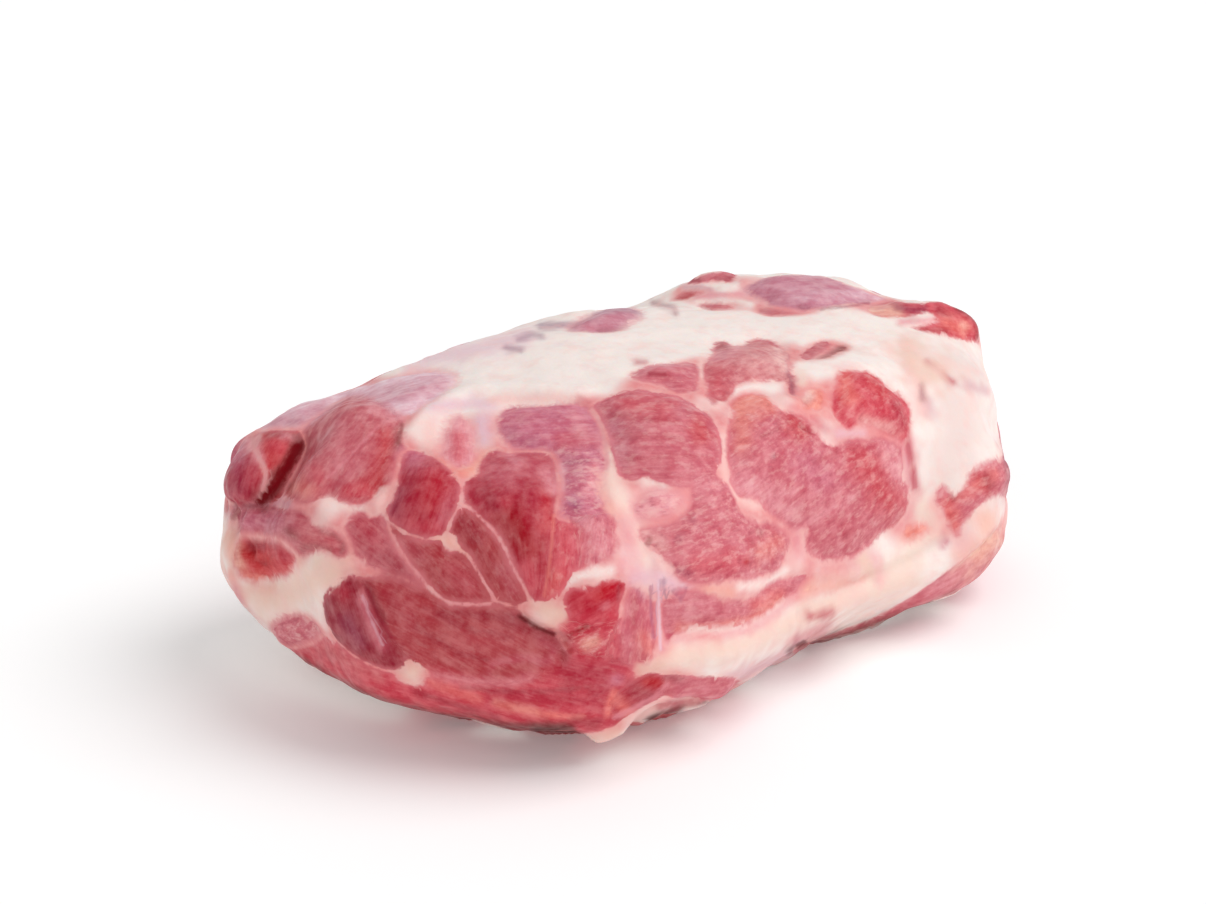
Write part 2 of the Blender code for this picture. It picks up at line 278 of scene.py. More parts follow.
# Muscles that run into one another, with no seam between them
JOINED = (
    ("long_plane", "bottom_plane"),
    ("bottom_plane", "foot_red"),
    ("foot_red", "foot_rose"),
    ("bottom_plane", "corner_rose"),
    ("bottom_plane", "corner_mottle"),
    ("bright_cut", "corner_mottle"),
    ("corner_mottle", "corner_rose"),
    ("red_strip", "pink_strip"),
    ("pink_strip", "film_low"),
    ("film_top", "film_low"),
    ("grained_muscle", "oval_muscle"),
    ("ear_edge", "ear_inner"),
    ("loin_side", "loin_strap"),
    ("loin_foot", "foot_strap"),
    ("shoulder_crown", "crown_film"),
    ("shoulder_crown", "ear_top"),
    ("ear_top", "crown_film"),
    ("fan_edge", "long_plane"),
    ("deep_muscle", "red_strip"),
    ("shin_lobe", "long_plane"),
)

# Soft patches of another tone in the lean: the path that a patch follows on the chart, its width on each
# side, its tone and how strong it is.
BONED_SIDE_STAINS = {
    "ear_edge_middle": (((-129, 6), (-131, -2)), 3.2, "plum", 0.45),
    "ear_inner_glow": (((-119.5, 12), (-116, 11)), 3, "rose_red", 0.7),
    "ear_inner_low": (((-119.5, 7), (-119, 2)), 2, "red", 0.6),
    # Painted shadow in the fold at the ear, soft towards the ear
    "ear_shade": (
        ((-110.4, 12.6), (-112.8, 8), (-115.6, 3.6), (-118.6, -0.6), (-122, -5)), 2.6, "dark_blood", 1),
    "crown_rim": (((-83.4, 14), (-84.4, 7), (-87.6, 1), (-93, -2.6)), 3.4, "cut_red", 0.6),
    "crown_left": (((-106, 3), (-103, -1)), 3.5, "rose_red", 0.5),
    "crown_middle": (((-98, 16), (-96, 4)), 6, "rose", 0.5),
    "crown_top": (((-95, 24), (-86, 22)), 3, "dusk_rose", 0.6),
    "crown_corner": (((-79.5, 16), (-80, 11)), 1.6, "brown", 0.7),
    "crown_foot": (((-113, -1.5), (-109, -3)), 3, "salmon", 0.5),
    "strap_left": (((-127, -12), (-118, -12)), 4, "mauve_rose", 0.7),
    "strap_dark": (((-114.5, -15.5), (-112, -17.5)), 1.4, "brown", 0.6),
    "strap_right": (((-107, -17.5), (-100, -20)), 3, "brick", 0.5),
    "pit_left": (((-131, -21), (-129.5, -26)), 2.4, "peach", 0.8),
    "pit_low": (((-128, -30.5), (-122, -31)), 2.2, "salmon", 0.7),
    "pit_right": (((-118, -19.5), (-115, -24)), 2.4, "crimson", 0.7),
    "pit_glow": (((-127, -23), (-124, -24.6), (-121, -26.4)), 2.6, "cut_red", 1),
    "pit_dark": (((-125.6, -19.8), (-122, -20.2)), 1.7, "wine", 0.75),
    "round_film": (((-75, 8.5),), 4.5, "mauve_rose", 0.8),
    "round_left": (((-80, -3), (-81.5, -9)), 2.6, "plum", 0.5),
    "round_core": (((-68, 0), (-70, -8)), 5, "cut_red", 0.35),
    "round_foot": (((-76, -14), (-68, -15)), 2.4, "rose_red", 0.6),
    "bud_core": (((-61, 14), (-60.5, 8)), 2.6, "rose_red", 0.6),
    "film_top_foot": (((-46, 13), (-38, 12)), 3, "violet", 0.45),
    "film_top_red": (((-28, 13), (-22, 14)), 3, "rose_red", 0.5),
    "deep_core": (((-44, -12), (-39, -22)), 6, "deep_crimson", 0.9),
    "deep_top_left": (((-50, 5), (-46, 2)), 4.5, "rose", 0.7),
    "deep_top": (((-42, 6), (-33, 4)), 4, "rose", 0.7),
    "deep_right": (((-33, -5), (-33, -14)), 2.6, "red", 0.6),
    "deep_foot": (((-40, -27), (-38, -33)), 3, "rose_red", 0.8),
    "deep_bright": (((-46, -6.5),), 2, "rose_red", 0.5),
    "deep_dark": (((-53, -3), (-49, -9)), 2, "wine", 0.5),
    "strip_dark": (((-58.6, -12), (-55, -17)), 3, "wine", 0.6),
    "fan_low_end": (((-62, -29), (-57, -33)), 4, "crimson", 0.6),
    "fan_edge_dark": (((-91, -14), (-88, -20)), 3, "crimson", 0.7),
    "red_strip_foot": (((-30, -30), (-32, -35)), 2.5, "coral", 0.4),
    "pink_strip_rim": (((-19, -14), (-17, -22)), 3, "pale_rose", 0.6),
    "bright_top": (((-13.5, -33), (-17, -35.5)), 2.8, "cut_red", 0.5),
    "bright_edge": (((-10.6, -33), (-10.6, -37)), 0.9, "wine", 0.6),
    "bright_foot": (((-23, -42), (-18, -43.5), (-13, -42)), 2, "rose_red", 0.8),
    "mottle_light": (((-21, -51), (-17.6, -50)), 1.8, "peach", 0.7),
    "corner_foot": (((-12, -53),), 3, "rose_red", 0.7),
    "corner_stroke": (((-6, -37), (-5.5, -46)), 1.2, "crimson", 0.5),
    "corner_light": (((-3, -49), (-1, -53)), 2.6, "salmon", 0.5),
    "lobe_dark": (((-96, -44), (-92, -50)), 3, "plum", 0.7),
    "lobe_top": (((-97, -35),), 3, "rose_red", 0.5),
    "plane_left": (((-82, -36), (-76, -44)), 4, "crimson", 0.35),
    "plane_top": (((-66, -40.5), (-54, -42), (-44, -43)), 2, "wine", 0.55),
    "plane_middle": (((-60, -50), (-46, -50)), 4, "brick", 0.35),
    "plane_swirl": (((-50, -57), (-40, -55.5), (-33, -56.5), (-31, -52.5), (-35, -50)), 1.4, "rose", 0.6),
    "plane_end": (((-28, -51), (-27.5, -57)), 1.6, "dark_wine", 0.6),
    "plane_streak_one": (((-72, -40), (-58, -46), (-44, -49)), 0.9, "wine", 0.5),
    "plane_streak_two": (((-74, -46), (-62, -53), (-52, -56)), 0.9, "wine", 0.45),
    "bottom_corner": (((-103, -53), (-95, -57), (-86, -61)), 2.4, "brick", 0.7),
    "bottom_light": (((-70, -62.5), (-62, -66), (-54, -68)), 1.8, "coral", 0.55),
    "bottom_salmon": (((-49, -69.4), (-42, -71), (-36, -72.4)), 1.6, "salmon", 0.8),
    "bottom_red": (((-50, -67), (-38, -68), (-26, -68)), 3, "crimson", 0.5),
    "bottom_crimson": (((-26, -60), (-16, -61), (-18, -67)), 5, "crimson", 0.85),
    "bottom_violet": (((-11.5, -62),), 2.4, "mauve_rose", 0.8),
    "bottom_stroke": (((-12, -66), (-13.5, -69), (-14, -73)), 1.1, "coral", 0.9),
    "bottom_streak_one": (((-60, -64.5), (-46, -66), (-32, -65.5), (-20, -64.5)), 0.8, "wine", 0.5),
    "bottom_streak_two": (((-74, -66), (-62, -70), (-48, -74)), 1.1, "wine", 0.5),
    "foot_dark": (((-2, -63), (1.5, -63)), 2.4, "cut_red", 0.8),
    "foot_core": (((-5, -65), (-1, -67)), 3, "wine", 0.5),
    "foot_brown": (((4.5, -60.5), (9, -61.5)), 1.4, "brown", 0.5),
    "band_left": (((7, -39), (16, -39.5)), 4, "pale_rose", 0.45),
    "band_right": (((32, -39), (40, -35.5)), 2.6, "coral", 0.5),
    "grained_top": (((-8, 24), (4, 23)), 3.5, "rose_red", 0.7),
    "grained_red": (((14, 17.5), (16, 14)), 3, "cut_red", 0.6),
    "grained_left": (((-12, 18), (-10, 8)), 3.5, "mauve_rose", 0.45),
    "grained_streak_one": (((-13, 21), (-2, 20), (8, 19.5)), 0.8, "crimson", 0.45),
    "grained_streak_two": (((-12, 14), (0, 14.5), (10, 13)), 0.8, "crimson", 0.4),
    "grained_streak_three": (((-10, 6.5), (2, 7.5), (14, 8)), 0.8, "crimson", 0.35),
    "small_dark": (((0, 34), (5, 34)), 1.2, "crimson", 0.7),
    "rough_left": (((20, 36), (20, 29)), 2.8, "rose_red", 0.5),
    "rough_brown": (((22, 41.5), (26, 40)), 2.4, "brown", 0.35),
    "rough_light": (((28, 39), (36, 37.4)), 4.5, "skin", 0.75),
    "eye_cap": (((27, 23), (32, 26), (37, 25)), 3.6, "salmon", 0.9),
    "eye_left": (((28, 17), (30, 8)), 3, "dusk_rose", 0.4),
    "eye_corner": (((44, 19), (47, 15)), 3.5, "cut_red", 0.6),
    "eye_mauve": (((48, 6), (54, 0)), 4.5, "mauve_rose", 0.5),
    "eye_red": (((66, 7), (69, 2), (74, -6)), 5.5, "red", 0.6),
    "eye_low": (((58, -16), (64, -17)), 4, "dusk_rose", 0.4),
    "eye_wing": (((28, 0), (35, -3.6), (43, -10)), 3.2, "pale_rose", 0.8),
    "eye_dot": (((38, 8),), 1, "plum", 0.7),
    "eye_streak_one": (((34, 14), (40, 17)), 0.8, "wine", 0.4),
    "eye_streak_two": (((52, 6), (58, 10)), 0.9, "crimson", 0.5),
    "crown_coral": (((60, 32), (62, 26)), 3.2, "coral", 0.8),
    "crown_red": (((69, 32), (73, 27)), 2.8, "red", 0.6),
    "crown_low": (((66, 18.8), (75, 16.4)), 2.2, "pink_fat", 0.45),
    "crown_right": (((77, 21),), 2.6, "rose_red", 0.6),
    "oval_left": (((-2, -17), (4, -17), (9, -13)), 3.4, "dusk_rose", 0.4),
    "oval_red": (((14, -26), (26, -25.5)), 3.6, "rose_red", 0.6),
    "oval_right": (((34, -22), (39, -19)), 3, "salmon", 0.5),
    "oval_dot_one": (((8, -18),), 1.2, "plum", 0.7),
    "oval_dot_two": (((12.5, -12),), 1.1, "plum", 0.5),
    "oval_dot_three": (((34, -16),), 1.1, "brown", 0.6),
    "oval_dot_four": (((29.6, -25.4),), 1.1, "cut_red", 0.8),
    "oval_dot_five": (((6.5, -27.5), (12, -29)), 1.2, "plum", 0.6),
    "side_red": (((100, 3), (104, -1)), 3, "cut_red", 0.5),
    "side_pink": (((107, 2), (92, -7)), 2.4, "coral", 0.5),
    "side_brown": (((94.5, -3),), 1.8, "brown", 0.6),
    "side_edge": (((110.5, 8), (112, 3), (112.5, -3)), 1.4, "plum", 0.7),
    "flap_tail": (((68.4, 53.6), (77, 53)), 2.2, "peach", 0.85),
    "flap_wine": (((76.6, 54.6), (81, 53.8), (85, 53.6)), 1.4, "plum", 0.75),
    "flap_red": (((90, 53.6), (93, 51)), 1.8, "wine", 0.6),
    "flap_bright": (((92, 50), (97.4, 47.6)), 2.6, "coral", 0.9),
    "flap_rim": (((96, 54.6), (100.6, 52), (103, 47.6), (102.4, 44.6)), 1.2, "dark_wine", 0.8),
    "flap_low": (((84, 47.5), (92, 47)), 1.3, "brown_red", 0.8),
    "window_edge": (((46, 54.5), (56, 54), (68, 56)), 0.9, "plum", 0.6),
    "window_light": (((44, 58), (60, 58)), 2, "pale_mauve", 0.35),
    "cap_high_dark": (((12, 62.8), (14.5, 63.2)), 1.3, "wine", 0.7),
    "cap_middle_dark": (((8, 57), (13, 57.5)), 1.2, "brown_red", 0.6),
    "cap_film_edge": (((-20, 48), (-12, 47.2)), 1.3, "mauve_rose", 0.6),
    "loin_foot_dark": (((46, -52), (60, -48.4), (74, -43), (86, -39.4), (95, -35)), 1.5, "brown", 0.85),
    "loin_foot_light": (((98, -26), (107, -17)), 4.2, "peach", 0.95),
    "film_edge": (((-86, 27), (-76, 27.6), (-66, 30.6)), 3, "mauve", 0.65),
    "crown_right_low": (((-85, 0), (-88, -4)), 2.4, "red", 0.6),
    "deep_side_light": (((-33.5, 2), (-31, -3)), 2.2, "pale_rose", 0.7),
    "grained_side": (((-10.5, 12), (-9, 6)), 2.2, "pale_rose", 0.6),
    "rough_right": (((40, 40), (41.6, 35)), 2.6, "pink_fat", 0.6),
    "rough_high": (((18, 40), (21, 39.4), (26, 41.6)), 2.4, "pale_rose", 0.75),
    # Painted shade along the bottom edge, where the meat turns under towards the floor
    "bottom_rim_shade": (
        ((-112, -55.6), (-98, -63.8), (-80, -71), (-62, -74.6), (-46, -76.8), (-26, -77.6)),
        1.9, "dark_wine", 0.9),
    "eye_salmon_left": (((29, 20), (28, 12)), 3, "salmon", 0.5),
    "lobe_stripe": (((-91, -37), (-88, -46), (-85, -52)), 2.2, "rose", 0.85),
    "foot_light": (((-10, -70), (-7, -73)), 2.2, "coral", 0.7),
    "ear_edge_top": (((-129, 11), (-132.5, 6)), 2.6, "mauve_rose", 0.7),
    "ear_top_brown": (((-121, 15), (-112, 14.6)), 1.4, "brown", 0.5),
    "ear_highlight": (((-115.4, 14.4), (-113.6, 14)), 1.2, "pale_rose", 0.5),
    "crown_low_red": (((-96, -3), (-90, -3.4)), 2.4, "rose_red", 0.7),
    "strap_edge": (((-103.4, -15.4), (-99.4, -17), (-97, -20), (-98, -22)), 1, "brown", 0.6),
    "strap_low": (((-110, -21), (-106, -20.4), (-101, -21.6)), 1, "brown", 0.5),
    "film_spot_stain": (((-25, -6.6), (-23.6, -7.8)), 1.8, "violet", 0.9),
    "film_streak_one": (((-28, 6), (-20, 6.5)), 0.8, "violet", 0.6),
    "film_streak_two": (((-27, 1), (-19, 0.6)), 0.8, "mauve_rose", 0.7),
    "film_pale": (((-20, -3), (-18, 4)), 2.4, "pale_rose", 0.8),
    "join_light": (((-68, -61), (-58, -62.4), (-46, -63), (-38, -61.4)), 1.6, "pale_rose", 0.4),
    # Painted shade beside the crease over the long plane, soft towards the plane
    "plane_shadow_soft": (((-44, -43.5), (-36, -47.5), (-28.5, -51.5)), 2.8, "wine", 0.6),
    "bright_fleck": (((-16, -39.5), (-13.5, -38.5)), 1, "pale_rose", 0.5),
    "corner_violet": (((-4.6, -32.5), (-3, -35.5)), 1.8, "mauve", 0.8),
    "band_low": (((8, -46), (20, -45.4), (32, -42.5), (40, -37.5)), 1.6, "salmon", 0.6),
    "bottom_salmon_right": (((-34, -72.8), (-28, -73.6), (-22, -73.8)), 1.1, "coral", 0.9),
    "oval_left_pale": (((-3, -16), (2, -20)), 2.6, "skin", 0.7),
    "oval_top": (((15, -1), (20, -3)), 3, "pale_rose", 0.45),
    "eye_coral_dark": (((48, 25), (49.6, 26.4)), 1.3, "brown_red", 0.6),
    "crown_dark": (((76, 24), (78.5, 19)), 2.2, "crimson", 0.7),
    "side_dark_spot": (((94.4, -4.8),), 1.2, "dark_wine", 0.6),
    "side_dark_mid": (((104.5, 1), (106, -1)), 1.6, "wine", 0.6),
    "side_low_coral": (((93, -10), (95, -14)), 2.4, "coral", 0.7),
    "rough_corner": (((21, 43), (23.5, 42.6)), 1.2, "wine", 0.6),
    "flap_spot": (((97, 49), (98, 48)), 1, "peach", 0.7),
    "ear_top_tone": (((-122, 18.6), (-112, 19.4), (-104, 23)), 2.6, "mauve", 0.8),
    "strip_light": (((-47, -27), (-44, -34)), 2.4, "dusk_rose", 0.6),
    "fan_low_light": (((-78, -19), (-73, -24)), 3, "dusk_rose", 0.5),
    "round_rim": (((-66, -12), (-64, -6)), 2, "rose", 0.5),
    "deep_low_left": (((-50, -12), (-45, -20)), 2, "brown_red", 0.6),
    "film_top_light": (((-24, 20), (-21, 12)), 2.4, "pale_rose", 0.5),
    "film_white": (((-28.5, -2), (-28.8, 5)), 1.2, "pale_mauve", 0.7),
    "mottle_side": (((-13, -48), (-13, -53)), 2, "rose_red", 0.7),
    "bottom_corner_red": (((-24, -75), (-18, -76)), 2.4, "wine", 0.6),
    "fan_edge_low": (((-84, -23), (-79, -27)), 2.6, "wine", 0.4),
    "ear_top_rim": (((-126.4, 11.4), (-123, 13.6)), 1.6, "skin", 0.8),
    "crown_high": (((-88, 22.6), (-82, 20)), 2.4, "pale_rose", 0.5),
    # Painted shadow where the bottom edge meets the floor
    "rim_contact_shadow": (((-37, -77.4), (-30, -77.4), (-25, -77.6)), 1.4, "blood", 0.9),
    "small_high": (((-2, 36), (8, 36.6)), 1.8, "pale_rose", 0.6),
    "rough_vein": (((43.2, 34), (43.8, 28)), 1.3, "plum", 0.85),
    "cap_high_dark_right": (((20.5, 63.4), (25, 63.8)), 1.4, "wine", 0.6),
    "stroke_cap": (((-20, 53), (-10, 54), (-3, 52.6)), 1.3, "dusk_violet", 0.5),
    "cap_film_low": (((-17, 47.4), (-9, 47)), 1, "plum", 0.6),
    "eye_line": (((43, -17), (50, -12), (58, -8), (63, -4)), 1.2, "pale_rose", 0.6),
    "eye_line_left": (((30, -4), (38, -4.6), (45, -3)), 1.4, "pale_rose", 0.5),
    "loin_foot_pale": (((86, -35), (93, -31), (99, -26)), 2.4, "pale_rose", 0.6),
    "eye_right_rough": (((73, 11.4), (77, 8), (77.6, 3)), 1.8, "pale_rose", 0.6),
    "pit_cross": (((-124.4, -18), (-124.6, -23), (-121, -26)), 0.9, "deep_crimson", 0.9),
    "film_right_pale": (((-17, 14), (-15.6, 9)), 1.9, "pale_rose", 0.75),
    "window_tip": (((63, 59), (71, 57.6)), 2.2, "pale_mauve", 0.7),
    # Painted shadow in the lower part of the fold at the ear
    "ear_shade_low": (((-116.6, -0.4), (-119.4, -4), (-122, -6.4)), 3, "dark_blood", 0.95),
    "ear_pale": (((-128.4, 15), (-125.6, 11.6), (-123.4, 7)), 2, "pale_rose", 0.8),
    "pit_line": (((-128, -23.4), (-123, -23.6), (-119.6, -24.6)), 0.9, "cut_red", 1),
    "eye_pale_right": (((75, 6), (77, 2)), 2.6, "pale_rose", 0.75),
    "eye_pale_left": (((28.6, 3), (29, -2)), 2.2, "pale_rose", 0.7),
    "eye_pale_top": (((47, 30), (48.6, 27)), 2.4, "pink_fat", 0.8),
    "seam_side_pale": (((-45.4, 10), (-43.4, 6)), 2.4, "pale_rose", 0.5),
}

# Soft patches of another tone in the fat and the seams
BONED_SIDE_WASHES = {
    "fan_gap": (((-61, -20.5), (-55, -26), (-50, -34)), 2, "pale_rose", 0.5),
    "strip_gap": (((-57, -8), (-50, -15.5), (-45, -24), (-41, -32)), 1.8, "pale_rose", 0.5),
    "low_gap": (((-80, -17), (-72, -31), (-62, -38), (-50, -39)), 2, "pale_rose", 0.4),
    "round_gap": (((-60, 3), (-59, -6), (-62, -13)), 2, "pale_rose", 0.5),
    "bud_gap": (((-66, 5), (-60, 3), (-56, 6)), 3, "salmon", 0.7),
    "bud_right": (((-53.5, 19), (-53, 12)), 2.6, "pale_mauve", 0.9),
    "bud_left": (((-70, 18), (-70, 11)), 3, "pink_fat", 0.8),
    "film_top_left": (((-68, 23.5), (-57, 24.5), (-50, 24)), 2.2, "pale_mauve", 0.8),
    "film_side": (((-15, 2), (-15, -8)), 3.5, "pale_rose", 0.6),
    "under_fold": (((-130, -9), (-122, -8.5), (-115, -7.5)), 3, "mauve", 0.8),
    "end_peach": (((-133, -18), (-131, -24)), 4, "peach", 0.8),
    "end_rose": (((-132, -30), (-129, -37)), 3, "coral", 0.6),
    "end_rim": (((-131, -34), (-127, -41), (-121, -49)), 1.6, "mauve_rose", 0.6),
    "hollow": (((-122, -36), (-112, -34), (-103, -28)), 7, "beige_fat", 0.9),
    "hollow_shade": (((-124, -33), (-119, -34)), 2, "salmon", 0.3),
    "crown_fork": (((-101, -7), (-92, -8)), 3, "fat", 0.6),
    "fan_knot": (((-66, -18.5), (-58, -21)), 2.4, "peach", 0.7),
    "bud_ring": (((-56, 3), (-52, 9)), 3, "peach", 0.5),
    "middle_fat": (((-13, 8), (-12.6, 0), (-9, -8), (-5, -16), (-3, -26)), 3, "cream_fat", 0.8),
    "film_low_side": (((-18, 2), (-16, -6), (-12, -10)), 3, "peach", 0.6),
    "middle_mauve": (((-6, -30), (3, -31), (9, -33)), 3.5, "pale_mauve", 0.8),
    "band_glow": (((18, -34.5), (24, -35)), 3, "peach", 0.6),
    "ledge": (((-2, -58), (12, -54), (28, -51), (42, -45), (60, -37), (80, -30)), 5, "beige_fat", 0.75),
    "ledge_blush": (((24, -62), (33, -58.6), (40, -55.4), (46, -51.6)), 2.8, "mauve", 0.65),
    "corner_piece": (((-34, -40), (-29, -42)), 4, "beige_fat", 0.8),
    "fat_spot": (((-75, -60),), 3.5, "beige_fat", 0.8),
    "right_band": (((83, -6), (86, -15), (79, -24), (68, -31)), 4, "cream_fat", 0.9),
    "eye_border": (((81, 12), (81.5, 4), (82, -4), (79, -14)), 2.2, "pale_rose", 0.55),
    "side_gap": (((2.5, -35), (3, -44), (3, -53)), 2.2, "pale_rose", 0.6),
    "eye_gap": (((22.5, 14), (22.5, 4), (25, -3), (32, -8)), 2, "pink_fat", 0.8),
    "lobe_gap": (((59, 15.2), (66, 15.2)), 1.7, "pale_mauve", 0.7),
    "top_left_film": (((-76, 38), (-56, 41.5), (-40, 45.5)), 3.2, "pale_mauve", 0.7),
    "film_top_shade": (((-50, 25.5), (-36, 26), (-24, 26)), 1.8, "pink_fat", 0.8),
    "fat_edge": (((5, -66), (0, -71), (-8, -75.5)), 2.4, "pink_fat", 0.9),
    "foot_tip": (((-12, -79), (-18, -81)), 3, "beige_fat", 0.7),
    "right_low": (((104, -12), (106, -20), (100, -26)), 4, "peach", 0.75),
    "flap_side": (((78, 50), (90, 50.5)), 1.4, "pale_rose", 0.8),
    "central_pink": (((-8, -13), (-7, -20), (-7, -27)), 4.5, "pale_rose", 0.6),
    "fork_pink": (((44, -11), (45, -18), (45, -24)), 2.2, "pale_rose", 0.6),
    "band_under": (((8, -49), (18, -48.3), (30, -46.4), (38, -41.6), (44, -35.6)), 1.7, "pale_rose", 0.7),
    "ledge_low": (((45, -50), (49, -48), (55, -45)), 2.4, "rose", 0.55),
    "right_fat": (((94, 26), (96, 16), (93, 6)), 9, "dull_fat", 0.8),
    "right_fat_top": (((84, 40), (92, 37), (102, 34)), 5, "dull_fat", 0.8),
    "right_rim": (((110.6, 12), (112, 4), (111.6, -4)), 2.4, "rose", 0.5),
    "crown_side": (((83, 33), (84, 22)), 3, "pink_fat", 0.8),
    "side_pink_low": (((70, -24), (71, -31)), 2.2, "pale_rose", 0.5),
    "oval_under": (((28, -33), (36, -31.5), (42, -27.5)), 1.8, "fat", 0.8),
    "round_left_gap": (((-84, -3), (-86, -8), (-84.5, -12)), 2, "pink_fat", 0.7),
    "cap_streak": (((86, 37.6), (90, 34.4), (94.4, 31)), 1.4, "dusk_rose", 0.85),
    "cap_streak_faint": (((79, 43), (81, 35)), 2.4, "rose", 0.35),
    "cap_streak_far": (((99, 30), (105, 28)), 1.8, "mauve", 0.45),
    "cap_lilac": (((86.5, 24), (87, 22)), 2, "mauve", 0.4),
    "cap_spot": (((84.3, 30), (84.6, 26)), 1.2, "plum", 0.6),
    "ledge_smudge": (((49.5, -42.4), (53, -42), (56, -41)), 1.7, "dusk_rose", 0.8),
    "low_spot": (((91, -20), (92.5, -18.5)), 1.3, "mauve_rose", 0.6),
    "bright_top_fat": (((-27, -31.5), (-20, -28.8), (-13, -28)), 2.2, "fat", 0.85),
    "middle_pale": (((-2, 0), (4, -1)), 2.5, "fat", 0.7),
    "coral_side": (((46.4, 34), (47, 31)), 2.2, "cream_fat", 0.8),
    "tail_brown": (((66, -24), (68.5, -29)), 2, "beige_fat", 0.9),
    "cap_brown": (((80, 42), (83, 36), (89, 34)), 5, "beige_fat", 0.8),
    "eye_cap_fat": (((22, 26), (26, 28.6), (32, 29.8), (38, 29)), 1.6, "fat", 0.9),
    "eye_side": (((79, 10), (80, 4), (80.4, -2)), 2, "pale_rose", 0.8),
    "middle_low": (((0, -22), (1, -27)), 2.5, "dusk_rose", 0.35),
    "cap_white_high": (((11, 61), (20, 61.4), (26, 61.4)), 1.5, "fat", 0.9),
    "cap_white_low": (((14, 56.4), (24, 56.9), (31, 55.6)), 1.1, "fat", 0.9),
    "cap_streak_grey": (((10.5, 60.9), (14, 61), (18, 60.3)), 0.9, "mauve", 0.7),
    "cap_streak_pink": (((14, 58.2), (20, 58.6), (26, 58.6), (29, 59.4)), 1.3, "pale_rose", 0.8),
    "stroke_film": (((-35, 48.6), (-29, 48.9), (-23, 48.9)), 1.4, "dusk_violet", 0.75),
    "stroke_left": (((-46, 42), (-41, 41)), 1.2, "dusk_violet", 0.6),
    "stroke_middle": (((-42, 44.6), (-38, 46), (-34.6, 45.6)), 1.2, "dusk_violet", 0.55),
    "top_stroke": (((0, 56), (4, 55), (7, 54.4)), 1.1, "plum", 0.55),
    "top_dot": (((7.2, 52.6),), 1.1, "plum", 0.55),
    "top_speck": (((-5, 37.4), (-2, 37.2)), 1.1, "dusk_rose", 0.7),
    "eye_shadow": (((79.6, 15), (80.6, 9), (81.8, 3), (82.2, -2)), 1.3, "dusk_rose", 0.95),
    "sliver_white": (((46, 36.6), (56, 37.6), (63, 40)), 1.5, "fat", 0.9),
    "sliver_white_high": (((47, 43.8), (55, 45.6), (63, 44)), 1.4, "fat", 0.9),
    # Painted shadow under the fat edge at the foot, where it meets the floor
    "foot_contact_shadow": (((-1, -74.6), (6, -71.8), (12, -69.4), (17, -68.6)), 1.3, "blood", 0.95),
    "lobe_gap_left": (((50, 18.4), (55, 16)), 2, "rose", 0.5),
    "small_top_gap": (((15.2, 38.4), (15.4, 33)), 1.4, "pink_fat", 0.9),
    # A thin strip of lean along the lower edge, painted dark as shade where it meets the floor
    "side_line": (
        ((43, -53), (50, -50.6), (60, -47.6), (70, -43.8), (80, -39.8), (87, -37.2)), 1.4, "blood", 0.75),
    "side_rose": (((50, -49), (54, -47.5)), 2.2, "rose", 0.4),
    "under_rose": (((13, -47.6), (19, -49)), 2.6, "coral", 0.35),
    "foot_skin": (((3, -70.6), (9, -69), (15, -68)), 1.7, "dusk_rose", 0.9),
}
